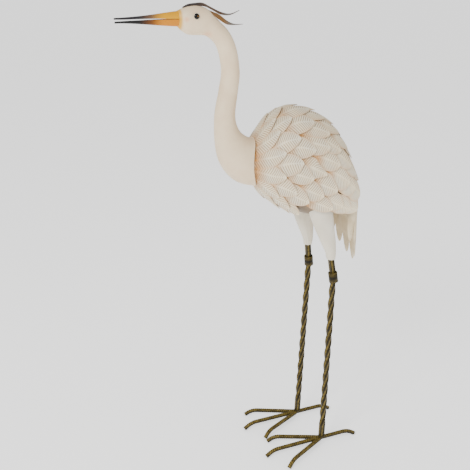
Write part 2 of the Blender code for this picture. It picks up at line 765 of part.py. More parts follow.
def inner_toe_angle():
    """The angle inwards that brings the inner toe's tip close to the other foot's."""
    reach, beyond = drawn(INNER_TOE)
    slope, length = tip_slope(beyond)
    reach += length * math.cos(slope)
    room = (ANKLE_SPREAD - INNER_TOES_APART) / 2
    aside = min(room / math.hypot(reach, TOE_ROD / 2), 1.0)
    return math.degrees(math.asin(aside) - math.atan2(TOE_ROD / 2, reach))


def toe_end(direction, reach, beyond):
    """Points of a toe past its level run: a rounded bend and the sloping tip, which ends on the ground."""
    slope, length = tip_slope(beyond)
    bend = TOE_ROD * TOE_BEND
    steep = Vector((direction.x * math.cos(slope), direction.y * math.cos(slope), -math.sin(slope)))
    corner = direction * reach
    tip = corner + steep * length
    middle = (corner - direction * bend + corner + steep * bend) / 2
    middle = middle.lerp(corner, TOE_BEND_SHARPNESS)
    return [corner - direction * bend, middle, corner + steep * bend, tip]


def toe_direction(outward_angle, side):
    turn = math.radians(outward_angle)
    return Vector((side * math.sin(turn), -math.cos(turn), 0.0))


def make_feet(finish, collection):
    """Each foot is one long rod from its middle to its rear toe, with a shorter rod against each side."""
    floor = ((0.0, 0.0, -TOE_HEIGHT), (0.0, 0.0, -1.0))
    for side, word in sides_of_figure():
        ankle = Vector((side * ANKLE_SPREAD / 2, 0.0, TOE_HEIGHT))
        ahead = toe_end(toe_direction(0.0, side), *drawn(MIDDLE_TOE))
        behind = toe_end(toe_direction(180.0, side), *drawn(REAR_TOE))
        name = f"middle_and_rear_toe_{word}"
        mesh = rod(name, list(reversed(behind)) + ahead, [floor])
        add_object(name, mesh, finish, collection, ankle)
        toes = (("outer", OUTER_TOE_ANGLE, OUTER_TOE), ("inner", -inner_toe_angle(), INNER_TOE))
        for toe, angle, sizes in toes:
            direction = toe_direction(angle, side)
            end = toe_end(direction, *drawn(sizes))
            outward = math.copysign(1.0, direction.x)
            beside = ((outward * (TOE_ROD / 2 + GAP), 0.0, 0.0), (-outward, 0.0, 0.0))
            name = f"{toe}_toe_{word}"
            mesh = rod(name, [direction * TOE_ROD * TOE_START] + end, [floor, beside])
            add_object(name, mesh, finish, collection, ankle)


def main():
    for found in list(bpy.data.objects):
        bpy.data.objects.remove(found)
    parts = bpy.data.collections.new("crane garden statue")
    cutters = bpy.data.collections.new("cutters")
    for collection in (parts, cutters):
        bpy.context.scene.collection.children.link(collection)
    figure = bpy.data.objects.new("figure", None)
    parts.objects.link(figure)

    white = material("white painted sheet steel", (0.86, 0.80, 0.70), 0.5)
    leaf_white = material("cream painted feather sheet", (0.88, 0.82, 0.72), 0.45)
    yellow = material("yellow painted beak", (0.85, 0.45, 0.06), 0.4)
    brown = material("brown painted crest", (0.22, 0.12, 0.06), 0.5)
    bronze = material("bronzed steel bar", (0.16, 0.13, 0.05), 0.45, 0.7)
    black = material("black glass eye", (0.01, 0.01, 0.01), 0.1)

    make_neck_and_head(white, parts)
    make_eyes(black, parts)
    make_beak(yellow, parts)
    make_crest(brown, parts)
    add_object("body", body_mesh("body"), white, parts)
    body_cutter = bpy.data.objects.new("body_cutter", body_mesh("body_cutter", GAP * 2))
    body_cutter.hide_render = True
    body_cutter.display_type = "WIRE"
    body_cutter.parent = figure
    cutters.objects.link(body_cutter)
    make_feathers(leaf_white, parts)
    make_tail(white, parts)
    make_thighs(white, parts, body_cutter)
    make_thigh_bars(bronze, parts)
    make_knee_sleeves(bronze, parts)
    make_lower_legs(bronze, parts)
    make_feet(bronze, parts)
    stand_on_middle(figure, parts)


def stand_on_middle(figure, parts):
    """Moves the figure so that the middle of its outline's box is over the origin."""
    bpy.context.view_layer.update()
    corners = []
    for found in parts.objects:
        if found.type == "MESH":
            corners.extend(found.matrix_world @ Vector(corner) for corner in found.bound_box)
    for axis in (0, 1):
        values = [corner[axis] for corner in corners]
        figure.location[axis] = -(min(values) + max(values)) / 2


main()
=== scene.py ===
"""Looks of the garden statue: a white wading bird of painted sheet steel on twisted bar legs.

Sizes are millimetres in the statue's drawn frame, where the bird faces -Y, its ankles are at Y = 0
and it stands on Z = 0. SHIFT moves them along Y to where the frame has its parts.
"""

import math

import bmesh
import bpy
import numpy as np
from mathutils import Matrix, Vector


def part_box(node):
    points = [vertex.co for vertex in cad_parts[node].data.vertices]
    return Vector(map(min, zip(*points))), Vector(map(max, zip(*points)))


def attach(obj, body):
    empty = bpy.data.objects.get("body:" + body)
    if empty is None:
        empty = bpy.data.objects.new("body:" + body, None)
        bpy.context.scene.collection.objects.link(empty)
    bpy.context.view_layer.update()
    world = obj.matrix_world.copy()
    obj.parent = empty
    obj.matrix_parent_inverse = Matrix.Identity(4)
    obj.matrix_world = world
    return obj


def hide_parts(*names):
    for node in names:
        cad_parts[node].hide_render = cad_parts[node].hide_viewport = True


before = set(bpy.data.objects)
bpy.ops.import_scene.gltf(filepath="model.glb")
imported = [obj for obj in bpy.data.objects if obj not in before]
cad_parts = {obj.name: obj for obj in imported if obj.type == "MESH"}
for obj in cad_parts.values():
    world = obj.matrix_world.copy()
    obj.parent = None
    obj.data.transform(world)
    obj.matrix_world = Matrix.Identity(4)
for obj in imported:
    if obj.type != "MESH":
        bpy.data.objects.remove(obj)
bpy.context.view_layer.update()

MM = 0.001
BEAK_TIP_AHEAD = 391.0
SHIFT = np.array([0.0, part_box("beak_upper")[0].y / MM + BEAK_TIP_AHEAD, 0.0])

# Camera, worked out from points on the feet and legs in the photograph
CAMERA_PLACE = (1268.2, -734.8, 974.8)
CAMERA_TURN = (90.0 - 19.7, 0.0, 66.2)
CAMERA_LENS = 59.28
CAMERA_SENSOR = 36.0
CAMERA_FAR = 100.0  # metres
IMAGE_SIDE = 470
HALF_PIXEL = 0.5 / IMAGE_SIDE

# Neck and head: y, z, half thickness, half width, lean in degrees, share of the collar's saddle
NECK_SECTIONS = (
    (-281.5, 879.5, 13.5, 11.0, 0.0, 0.0),
    (-275.0, 878.0, 18.0, 14.5, 2.0, 0.0),
    (-263.0, 876.5, 23.3, 18.0, 2.0, 0.0),
    (-247.0, 876.2, 24.6, 19.5, 0.0, 0.0),
    (-233.0, 873.0, 22.3, 19.2, 9.0, 0.0),
    (-224.5, 867.5, 19.2, 18.2, 16.5, 0.0),
    (-213.5, 858.0, 16.8, 17.2, 28.0, 0.0),
    (-203.3, 848.0, 16.3, 16.5, 42.0, 0.0),
    (-195.0, 834.0, 16.6, 16.5, 54.0, 0.0),
    (-189.5, 817.0, 16.6, 16.5, 70.5, 0.0),
    (-186.0, 796.0, 16.5, 16.5, 88.0, 0.0),
    (-185.5, 780.0, 16.8, 16.8, 93.0, 0.0),
    (-188.0, 763.0, 17.2, 17.2, 98.0, 0.0),
    (-191.0, 745.0, 17.6, 17.6, 99.0, 0.0),
    (-194.3, 728.0, 18.2, 18.2, 97.0, 0.0),
    (-196.5, 710.0, 19.0, 19.0, 92.0, 0.0),
    (-195.5, 690.0, 21.0, 20.5, 82.0, 0.0),
    (-191.0, 670.0, 25.5, 25.0, 70.5, 0.0),
    (-182.0, 651.0, 33.0, 31.0, 57.5, 0.0),
    (-172.0, 637.5, 38.5, 35.5, 43.5, 0.25),
    (-158.0, 625.0, 43.0, 38.0, 22.5, 0.6),
    (-140.0, 619.5, 46.0, 38.8, -1.2, 1.0),
)
COLLAR_SADDLE = 16.0
COLLAR_WALL = 0.8
COLLAR_DEPTH = 12.0
COLLAR_LIP = 0.3  # roundness of its edge
COLLAR_TAPER = 3.0  # how much narrower its inside gets
HEAD_STEPS = 26
HEAD_END = 3  # the section where the finer steps of the head end
NECK_STEPS = 130
NECK_SIDES = 64

# Peach spots on cheeks and throat: x, y, z, radius, strength
NECK_BLUSHES = (
    (15.0, -270.5, 879.0, 7.0, 0.55),
    (9.0, -232.0, 853.0, 13.0, 0.4),
)

# Body: top y, top z, bottom y, bottom z, half width
BODY_SECTIONS = (
    (-151.5, 656.0, -149.0, 584.0, 28.8),
    (-139.5, 658.0, -137.5, 581.5, 30.8),
    (-116.5, 682.0, -118.0, 558.0, 48.0),
    (-91.0, 703.5, -98.0, 543.0, 59.0),
    (-62.0, 712.0, -76.0, 528.0, 65.0),
    (-20.0, 700.0, -45.0, 512.0, 68.0),
    (18.0, 669.0, -10.0, 504.0, 67.0),
    (45.5, 621.0, 22.5, 503.0, 61.0),
    (62.5, 575.0, 48.0, 504.0, 50.0),
    (72.0, 534.0, 67.0, 507.0, 34.0),
)
BODY_FULLNESS_TOP = 2.1  # powers of the superellipse: 2 is an ellipse, more is squarer
BODY_FULLNESS_BELLY = 2.7
BODY_FULLNESS_COLLAR = 2.0
BELLY_FULL_FROM = 90.0  # distance from the collar
BODY_SADDLE_FADE = 50.0
BODY_STEPS = 70
BODY_SIDES = 96
BODY_CAP = 3.0  # how far its rounded end stands out

# Leaf rows, as in the frame's parts but with rounder tips: distance of the roots from the collar, leaves
# in the row, angles where the row starts and ends, point of the tips, depth of the veins
LEAF_ROWS = (
    (0.0, 12, 0.0, 360.0, 0.6, 0.55),
    (22.0, 12, -15.0, 345.0, 0.6, 0.55),
    (49.0, 13, -104.0, 256.0, 0.6, 0.5),
    (76.0, 11, -31.0, 211.0, 0.55, 0.5),
    (103.0, 12, -42.0, 222.0, 0.5, 0.4),
    (130.0, 10, -35.0, 215.0, 0.45, 0.3),
    (155.0, 9, -41.0, 221.0, 0.4, 0.22),
    (178.0, 8, -42.0, 222.0, 0.4, 0.18),
)
LEAVES_TOGETHER = 3  # neighbours in a row that are one part of the frame
LEAF_LENGTH = 65.0
LEAF_WIDER = 1.14  # than its share of the row, so that neighbours lap
LEAF_HALF_WIDTH = 19.5  # at most
LEAF_BASE = 1.8
LEAF_RISE = 0.108  # gained for one unit of length
LEAF_ARCH = 1.3  # height of the midrib over the edges
LEAF_TILT = 0.8  # the lower edge up and the upper edge down, so that leaves lie over those below
LEAF_SWAY = 3.2  # degrees that hand-bent leaves lean aside, at most
LEAF_SHIFT = 2.4  # how much farther or shorter they reach, at most
SWAY_STEP = 2.4  # turns the lean from leaf to leaf, in radians
LEAF_SHEET = 0.5
LEAF_EXTRA = 0.3  # more sheet under the veins, so that they don't cut through
LEAF_SHOULDER = 2.4
LEAF_ARCH_RUN = 0.3  # share of the length after which the arch is full
LEAF_ROOT_SHADE = 0.2  # the painted shade at the root fades from this share of the length
LEAF_ROOT_FADE = 0.3
# how narrow the painted shade along the leaf rims is
LEAF_RIM_POWER = 6
LEAF_EDGE_ROUNDS = 40
VEIN_PITCH = 4.2
VEIN_SLANT = 0.62  # forward run of a vein for its run sideways
VEIN_SAMPLES = 8
VEIN_START = 0.04  # share of the half width where veins leave the midrib
VEIN_START_FADE = 0.1
VEIN_RIM_FADE = 0.16  # share of the half width over which veins fade at the rim
VEIN_TIP_FADE = 0.12  # share of the length over which they fade at the tip
MIDRIB_WIDTH = 0.07  # share of the half width
MIDRIB_HEIGHT = 0.35
MIDRIB_TIP_FADE = 0.3
LEAF_COLUMNS = 6  # on each side of the midrib

# Tail strips
TAIL_STRIPS = 7
TAIL_CELL = 34.0  # degrees from strip to strip, round the body
TAIL_WIDEST = 102.0  # degrees from the middle strip to the outer ones
TAIL_PLAN_ANGLE = 84.0  # the same for their tips, seen from above
TAIL_ROOT = 236.8  # distance from the collar
TAIL_LEAD = 9.2  # stretch on the body that gives the direction in which they leave it
TAIL_LIFT = 2.5
TAIL_EARLIER = 0.38  # share of their way on the body by which the outer strips leave it sooner
TAIL_SWING = 0.17  # how far they go on in that direction, as a share of their fall
TAIL_FALL = 0.9
TAIL_TIP_HEIGHT = 389.0
TAIL_SIDE_RISE = 57.0  # how much higher the outer tips are
TAIL_SIDE_POWER = 1.4
TAIL_CENTRE_Y = 53.0  # middle of the ellipse on which the tips lie
TAIL_HALF_WIDTH = 37.0
TAIL_HALF_DEPTH = 36.0
TAIL_STRIP_WIDTH = 23.0
TAIL_LAYER = 1.5  # how much lower every other strip lies
TAIL_TAPER_FROM = 0.6  # share of the length
TAIL_TAPER_POWER = 2.2
TAIL_ARCH = 1.3
TAIL_SHEET = 0.6
TAIL_COVERED_STEPS = 10
TAIL_STEPS = 60
TAIL_COLUMNS = 13

# Thighs: x, y, z, half width across, half depth
THIGH_SECTIONS = (
    (47.1, 8.8, 419.0, 8.6, 8.6),
    (46.3, 8.2, 431.0, 9.8, 10.4),
    (44.5, 2.0, 456.0, 12.0, 15.8),
    (42.0, -6.0, 485.0, 14.2, 20.6),
    (39.0, -12.0, 512.0, 15.5, 24.5),
    (37.0, -17.0, 540.0, 16.5, 27.5),
)
THIGH_SEAM = 205.0  # angle from the outer side over the back
THIGH_SEAM_LAP = 16.0
THIGH_SEAM_FROM = 340.0  # angle past the seam from which the sheet rises to lie over its start
THIGH_SEAM_RUN = 20.0
THIGH_SEAM_RISE = 1.3
THIGH_SHEET = 0.8
THIGH_STEPS = 60
THIGH_SIDES = 84
KNEE = (50.0, 14.0, 380.5)
THIGH_BAR_TOP = (45.6, 6.0, 440.0)
THIGH_BAR_LENGTH = 78.0
THIGH_BAR_START = 1.0  # above the lower leg's end
THIGH_BAR_STEPS = 12

# Legs and feet
LEG_BAR = 10.0
LEG_TWIST_PITCH = 110.0
LEG_STRAIGHT_END = 24.0
LEG_STEPS = 240
BAR_CORNER = 0.8
CORNER_ANGLES = (0.0, 22.5, 45.0, 67.5, 90.0)
# khaki gold on the corners and flats of the bars: partly wear, partly painted highlight
CORNER_WEAR_AND_HIGHLIGHT = 0.15
FLAT_WEAR_AND_HIGHLIGHT = ((0.25, 0.7), (0.5, 0.35), (0.75, 0.0))  # shares of a flat, and how much khaki gold they get, partly wear and partly painted highlight
TOE_ROD = 9.3
TOE_HEIGHT = 15.0
ANKLE_SPREAD = 109.0
SLEEVE_LENGTH = 21.0
SLEEVE_WALL = 1.0
SLEEVE_INNER = 8.2
SLEEVE_SLIT = 24.0  # degrees left open
SLEEVE_SLIT_ANGLE = 70.0
SLEEVE_SIDES = 48
SLEEVE_CHAMFER = 0.4
SLEEVE_EDGE = 0.5
SLEEVE_WAIST = 0.15
SLEEVE_RUBBED = 0.35

# Toes: degrees outwards from straight ahead, reach to the bend, run past the bend
OUTER_TOE = (26.8, 101.6, 16.7)
INNER_TOE = (100.5, 14.7)  # its angle is worked out
INNER_TOES_APART = 1.2  # between the two feet's inner toes at their tips
MIDDLE_TOE = (0.0, 113.0, 19.1)
REAR_TOE = (180.0, 63.4, 20.0)
TOE_BEND = 1.3  # run of a toe's bend on each side of its corner, in rod widths
TOE_STEPS = 60
TOE_BEND_STEPS = 14
SIDE_TOE_FIRST = 4  # the side toes leave out their points before this one, inside the weld
RIB_PITCH = 4.4
RIB_HEIGHT = 0.45
RIB_SLANT = 0.56  # forward run of a rib for its run sideways
ROD_SEAM_WIDTH = 0.22
ROD_SEAM_HEIGHT = 0.8  # share of a rib's height
ROD_STEP = 0.55
ROD_SIDES = 20
WELD_STEPS = 44
WELD_SIDES = 12
WELD_RADIUS = 0.52  # in bar widths
WELD_HALF_WIDTH = 1.9
WELD_HALF_HEIGHT = 2.1
WELD_LIFT = 0.2
WELD_RUBBED = 0.12

# Beak: y, upper edge z, lower edge z, half width
BEAK_UPPER = (
    (-281.9, 892.4, 880.0, 10.2),
    (-300.0, 890.6, 880.6, 8.6),
    (-325.0, 887.8, 881.2, 6.4),
    (-350.0, 885.7, 881.2, 4.5),
    (-375.0, 884.4, 880.9, 3.0),
    (-391.0, 884.0, 881.2, 1.9),
)
BEAK_LOWER = (
    (-281.9, 879.2, 866.9, 10.2),
    (-300.0, 879.4, 868.2, 8.6),
    (-325.0, 879.2, 870.6, 6.4),
    (-350.0, 878.8, 873.0, 4.5),
    (-375.0, 878.4, 874.7, 3.0),
    (-390.0, 877.9, 875.0, 1.9),
)

BEAK_STEPS = 60
BEAK_ARC_POINTS = 25
BEAK_MOUTH_POINTS = 9
BEAK_ROUNDNESS = 0.9
BEAK_MOUTH_HOLLOW = 0.02  # share of a mandible's height

# Crest: y, z, half width, lean of the near edge downwards, x
CREST_UPPER = (
    (-273.0, 898.6, 1.6, 8.0, 0.0),
    (-262.0, 902.4, 4.2, 16.0, 0.0),
    (-248.0, 903.4, 5.6, 20.0, 0.0),
    (-234.0, 902.6, 6.2, 26.0, -0.5),
    (-219.0, 895.6, 5.0, 30.0, -1.5),
    (-202.0, 887.6, 3.4, 42.0, -3.0),
    (-184.0, 884.8, 1.7, 34.0, -5.0),
    (-165.0, 890.6, 0.5, 20.0, -7.0),
)
CREST_LOWER = (
    (-228.0, 893.8, 2.0, 16.0, 3.5),
    (-219.0, 887.6, 4.9, 38.0, 6.4),
    (-207.0, 880.8, 6.4, 52.0, 7.0),
    (-196.0, 873.2, 4.6, 52.0, 9.0),
    (-183.0, 869.0, 1.7, 35.0, 10.5),
    (-167.0, 868.8, 0.5, 20.0, 12.0),
)
PLUME_STEPS = 90
PLUME_COLUMNS = 17
STRANDS = 4
STRAND_DEPTH = 0.22
PLUME_DROOP = 0.12
PLUME_SHEET = 0.6
PLUME_LEAST = 0.35  # half width at the tips

# Eyes
EYE = (19.0, -254.5, 884.0)
EYE_RADIUS = 4.75
EYE_STEPS = 16
EYE_SIDES = 32
EYE_BULGE = 0.85  # share of the radius that the glass stands out
EYE_RIM_STEPS = 48
EYE_RIM_SIDES = 10
EYE_RIM_GAP = 0.45
EYE_RIM_WIDTH = 0.4
EYE_RIM_LIFT = 0.2
EYE_RIM_HEIGHT = 0.6

# Studio, in metres: lamps with their place, size and power
LAMPS = (
    ("key", (1.6, -2.2, 2.4), 1.2, 85.0),
    ("fill", (2.6, 1.4, 1.2), 2.0, 14.0),
)
LAMP_TARGET = (0.0, 0.0, 0.5)
SKY_STRENGTH = 0.7
FLOOR_REACH = 30.0

SIDES = ((1, "left"), (-1, "right"))


def hex_colour(text):
    """A colour written in hex, as linear light."""
    found = []
    for i in (0, 2, 4):
        value = int(text[i : i + 2], 16) / 255
        found.append(value / 12.92 if value <= 0.04045 else ((value + 0.055) / 1.055) ** 2.4)
    return (*found, 1.0)


def add(tree, kind, inputs, **settings):
    """A shader node with its settings, and its inputs set or linked by name or number."""
    node = tree.nodes.new("ShaderNode" + kind)
    for key, value in settings.items():
        setattr(node, key, value)
    for key, value in inputs.items():
        if isinstance(value, bpy.types.NodeSocket):
            tree.links.new(value, node.inputs[key])
        else:
            node.inputs[key].default_value = value
    return node


def blank(name):
    """A material with nothing but its surface shader."""
    found = bpy.data.materials.new(name)
    found.use_nodes = True
    return found, found.node_tree, found.node_tree.nodes["Principled BSDF"]


def mix(tree, share, first, second):
    """The colour between two colours."""
    inputs = {0: share, 6: first, 7: second}
    return add(tree, "Mix", inputs, data_type="RGBA", clamp_factor=True).outputs[2]


def product(tree, first, second):
    """Two values multiplied."""
    return add(tree, "Math", {0: first, 1: second}, operation="MULTIPLY").outputs[0]


def spread(tree, value, low, high, to_low=0.0, to_high=1.0):
    """The value brought smoothly from one range to another."""
    inputs = {"Value": value, "From Min": low, "From Max": high, "To Min": to_low, "To Max": to_high}
    return add(tree, "MapRange", inputs, interpolation_type="SMOOTHSTEP").outputs["Result"]


def noise(tree, size, detail=3.0):
    """Noise whose blotches are about so many millimetres wide."""
    where = add(tree, "TexCoord", {}).outputs["Object"]
    inputs = {"Vector": where, "Scale": 1.0 / (size * MM), "Detail": detail, "Roughness": 0.5}
    return add(tree, "TexNoise", inputs).outputs["Fac"]


def attribute(tree, name):
    """A layer of values that the mesh holds at its points."""
    return add(tree, "Attribute", {}, attribute_name=name).outputs["Fac"]


def bump(tree, shader, height, strength, distance):
    """Unevenness of the surface, in millimetres."""
    node = add(tree, "Bump", {"Height": height, "Strength": strength, "Distance": distance * MM})
    tree.links.new(node.outputs["Normal"], shader.inputs["Normal"])


def along_bird(tree, low, high, to_low=0.0, to_high=1.0):
    """A value that goes smoothly from one to another between two drawn places along the bird."""
    where = add(tree, "NewGeometry", {}).outputs["Position"]
    y = add(tree, "SeparateXYZ", {"Vector": where}).outputs["Y"]
    return spread(tree, y, (low + SHIFT[1]) * MM, (high + SHIFT[1]) * MM, to_low, to_high)


def leaf_paint():
    """Satin cream enamel over stamped leaves, with painted peach shade at the roots and edges, and painted
    shade in the vein grooves and on the undersides.
    """
    found, tree, shader = blank("cream enamel on stamped leaves")
    cloud = noise(tree, 26.0)
    base = mix(tree, spread(tree, cloud, 0.35, 0.65), hex_colour("F2E2C0"), hex_colour("E6DDC4"))
    # painted shade: peach at the roots, where the leaf above shades them, a little uneven
    uneven = spread(tree, noise(tree, 14.0), 0.25, 0.6, 0.55, 1.0)
    base = mix(tree, product(tree, attribute(tree, "root"), uneven), base, hex_colour("C88838"))
    # painted shade: peach along the rims
    edge = product(tree, attribute(tree, "edge"), 0.5)
    base = mix(tree, edge, base, hex_colour("C88A48"))
    # painted shade: darker tan in the pressed vein grooves
    groove = product(tree, attribute(tree, "groove"), 0.85)
    base = mix(tree, groove, base, hex_colour("8E6C45"))
    # painted shade: the undersides of the leaves are grey-brown
    base = mix(tree, attribute(tree, "under"), base, hex_colour("8F8066"))
    tree.links.new(base, shader.inputs["Base Color"])
    shader.inputs["Roughness"].default_value = 0.5
    bump(tree, shader, noise(tree, 1.6), 0.12, 0.2)
    return found


def plain_paint(name, light, shade, blotch):
    """Satin enamel over plain sheet, a little uneven."""
    found, tree, shader = blank(name)
    base = mix(tree, spread(tree, noise(tree, blotch), 0.3, 0.7), hex_colour(light), hex_colour(shade))
    tree.links.new(base, shader.inputs["Base Color"])
    shader.inputs["Roughness"].default_value = 0.45
    bump(tree, shader, noise(tree, 2.2), 0.1, 0.2)
    return found


def neck_paint():
    """Satin off-white enamel with a yellow rim at the beak and a peach blush at cheek and throat."""
    found, tree, shader = blank("off-white enamel on the neck")
    base = mix(tree, spread(tree, noise(tree, 40.0), 0.3, 0.7), hex_colour("EAD4B0"), hex_colour("E0C6A2"))
    where = add(tree, "NewGeometry", {}).outputs["Position"]
    for x, y, z, radius, strength in NECK_BLUSHES:
        for side in (1, -1):
            spot = tuple(Vector((side * x, y + SHIFT[1], z)) * MM)
            away = add(tree, "VectorMath", {0: where, 1: spot}, operation="DISTANCE").outputs["Value"]
            share = spread(tree, away, 0.0, radius * MM, strength, 0.0)
            base = mix(tree, share, base, hex_colour("E79A68"))
    base = mix(tree, along_bird(tree, -280.0, -274.5, 0.95, 0.0), base, hex_colour("D09A10"))
    tree.links.new(base, shader.inputs["Base Color"])
    shader.inputs["Roughness"].default_value = 0.42
    bump(tree, shader, noise(tree, 30.0, 1.0), 0.25, 0.8)
    return found


def beak_paint(name, near, middle, far):
    """Gloss enamel that goes from yellow-orange at the face to grey-black at the tip."""
    found, tree, shader = blank(name)
    dark = along_bird(tree, -352.0, -318.0, 1.0, 0.0)
    brown = along_bird(tree, -332.0, -306.0, 0.85, 0.0)
    base = mix(tree, brown, hex_colour(near), hex_colour(middle))
    base = mix(tree, dark, base, hex_colour(far))
    tree.links.new(base, shader.inputs["Base Color"])
    shader.inputs["Roughness"].default_value = 0.4
    shader.inputs["Specular IOR Level"].default_value = 0.25
    bump(tree, shader, noise(tree, 3.0), 0.08, 0.3)
    return found


def crest_paint(name, middle):
    """Brushed enamel from dark brown at the brow to grey at the tips, with fine strands along it."""
    found, tree, shader = blank(name)
    base = mix(tree, along_bird(tree, -250.0, -222.0), hex_colour("2A180C"), hex_colour(middle))
    base = mix(tree, along_bird(tree, -205.0, -186.0), base, hex_colour("7A7168"))
    base = mix(tree, product(tree, attribute(tree, "groove"), 0.6), base, hex_colour("1A0E06"))
    tree.links.new(base, shader.inputs["Base Color"])
    shader.inputs["Roughness"].default_value = 0.5
    return found


def bronze_bar():
    """Dark olive-brown patina on steel bar, with khaki gold on its edges and in stripes along its flats that
    is partly rubbed wear and partly painted highlight.
    """
    found, tree, shader = blank("bronze patina on bar with wear and painted highlights")
    uneven = spread(tree, noise(tree, 5.0), 0.3, 0.65, 0.3, 0.95)
    wear_and_highlight = product(tree, attribute(tree, "wear_and_highlight"), uneven)
    base = mix(tree, spread(tree, noise(tree, 18.0), 0.35, 0.65), hex_colour("060401"), hex_colour("0D0A05"))
    # khaki gold, partly wear and partly painted highlight
    base = mix(tree, wear_and_highlight, base, hex_colour("96803A"))
    tree.links.new(base, shader.inputs["Base Color"])
    shader.inputs["Metallic"].default_value = 0.15
    shader.inputs["Specular IOR Level"].default_value = 0.2
    shader.inputs["Roughness"].default_value = 0.5
    bump(tree, shader, noise(tree, 1.2), 0.3, 0.2)
    return found


def eye_glass():
    """Gloss black glass with a painted glint: a warm brown spot a little behind its middle."""
    found, tree, shader = blank("black glass")
    # painted glint: a warm brown spot mixed into the black
    where = add(tree, "TexCoord", {}).outputs["Object"]
    flat = add(tree, "VectorMath", {0: where, 1: (0.0, 1.0, 1.0)}, operation="MULTIPLY").outputs["Vector"]
    spot = (0.0, 1.0 * MM, 0.4 * MM)
    away = add(tree, "VectorMath", {0: flat, 1: spot}, operation="DISTANCE").outputs["Value"]
    share = spread(tree, away, 0.5 * MM, 1.7 * MM, 0.8, 0.0)
    tree.links.new(mix(tree, share, hex_colour("060302"), hex_colour("8A5E22")), shader.inputs["Base Color"])
    shader.inputs["Roughness"].default_value = 0.18
    shader.inputs["Specular IOR Level"].default_value = 0.2
    return found


def floor_paint():
    """Matt white studio floor."""
    found, _, shader = blank("matt white floor")
    shader.inputs["Base Color"].default_value = hex_colour("F7F7F6")
    shader.inputs["Roughness"].default_value = 0.9
    shader.inputs["Emission Color"].default_value = hex_colour("FFFFFF")
    shader.inputs["Emission Strength"].default_value = 0.9
    return found


def piece(name, points, faces, material, nodes=(), layers=(), sharp=40.0):
    """A shown piece from points in drawn millimetres, riding on the figure."""
    points = np.asarray(points, float).reshape(-1, 3)
    origin = points.mean(axis=0)
    mesh = bpy.data.meshes.new(name)
    mesh.from_pydata(((points - origin) * MM).tolist(), [], faces)
    for key, values in dict(layers).items():
        layer = mesh.attributes.new(key, "FLOAT", "POINT")
        layer.data.foreach_set("value", np.asarray(values, np.float32).ravel())
    solid = bmesh.new()
    solid.from_mesh(mesh)
    bmesh.ops.recalc_face_normals(solid, faces=solid.faces)
    solid.to_mesh(mesh)
    solid.free()
    mesh.materials.append(material)
    mesh.shade_smooth()
    mesh.set_sharp_from_angle(angle=math.radians(sharp))
    found = bpy.data.objects.new(name, mesh)
    found.location = Vector((origin + SHIFT) * MM)
    bpy.context.scene.collection.objects.link(found)
    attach(found, "root")
    if nodes:
        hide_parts(*nodes)
    return found


def circle(sides):
    """Angles once round, in radians."""
    return np.linspace(0, math.tau, sides, endpoint=False)


def grid_faces(rows, columns, start=0, flip=False, around=False):
    """Faces over a grid of points, closed around its columns on request."""
    faces = []
    for r in range(rows - 1):
        here = start + r * columns
        ahead = here + columns
        for c in range(columns if around else columns - 1):
            d = (c + 1) % columns
            face = (here + c, here + d, ahead + d, ahead + c)
            faces.append(face[::-1] if flip else face)
    return faces


def hoop_faces(steps, sides):
    """Faces of a tube that runs once round and closes on itself."""
    faces = []
    for r in range(steps):
        here = r * sides
        ahead = (r + 1) % steps * sides
        for c in range(sides):
            d = (c + 1) % sides
            faces.append((here + c, here + d, ahead + d, ahead + c))
    return faces


def closed_tube(rings):
    """Points and faces of a tube of rings with flat ends."""
    rings = np.asarray(rings)
    count, sides = rings.shape[:2]
    faces = grid_faces(count, sides, around=True)
    faces.append(tuple(range(sides))[::-1])
    faces.append(tuple(range((count - 1) * sides, count * sides)))
    return rings.reshape(-1, 3), faces


def wall(top, bottom):
    """Points and faces of a sheet between two grids of points, with its rim closed."""
    rows, columns = top.shape[:2]
    points = np.concatenate([top.reshape(-1, 3), bottom.reshape(-1, 3)])
    half = rows * columns
    faces = grid_faces(rows, columns)
    faces += grid_faces(rows, columns, start=half, flip=True)
    for c in range(columns - 1):
        last = (rows - 1) * columns
        faces.append((c + 1, c, half + c, half + c + 1))
        faces.append((last + c, last + c + 1, half + last + c + 1, half + last + c))
    for r in range(rows - 1):
        a = r * columns
        b = (r + 1) * columns
        faces.append((a, b, half + b, half + a))
        faces.append((b + columns - 1, a + columns - 1, half + a + columns - 1, half + b + columns - 1))
    return points, faces


def on_both(values):
    """A layer's values for both grids of a sheet."""
    return np.concatenate([values.ravel()] * 2)


def grid_normals(grid):
    """Unit normals of a grid of points."""
    down = np.gradient(grid, axis=0)
    across = np.gradient(grid, axis=1)
    found = np.cross(down, across)
    return found / np.maximum(np.linalg.norm(found, axis=-1, keepdims=True), 1e-9)


def smooth_at(knots, rows, where):
    """Reads a table of rows at distances along it, on one smooth curve through all of them."""
    where = np.clip(where, knots[0], knots[-1])
    i = np.clip(np.searchsorted(knots, where, side="right") - 1, 0, len(knots) - 2)
    span = knots[i + 1] - knots[i]
    t = ((where - knots[i]) / span)[..., None]
    before = np.maximum(i - 1, 0)
    after = np.minimum(i + 2, len(rows) - 1)
    start = (rows[i + 1] - rows[before]) * (span / (knots[i + 1] - knots[before]))[..., None]
    end = (rows[after] - rows[i]) * (span / (knots[after] - knots[i]))[..., None]
    return (
        (2 * t**3 - 3 * t**2 + 1) * rows[i]
        + (t**3 - 2 * t**2 + t) * start
        + (3 * t**2 - 2 * t**3) * rows[i + 1]
        + (t**3 - t**2) * end
    )


def knots_of(rows, *columns):
    """Distances along a table, from some of its columns."""
    steps = np.linalg.norm(np.diff(rows[:, columns], axis=0), axis=1)
    return np.concatenate([[0.0], np.cumsum(steps)])


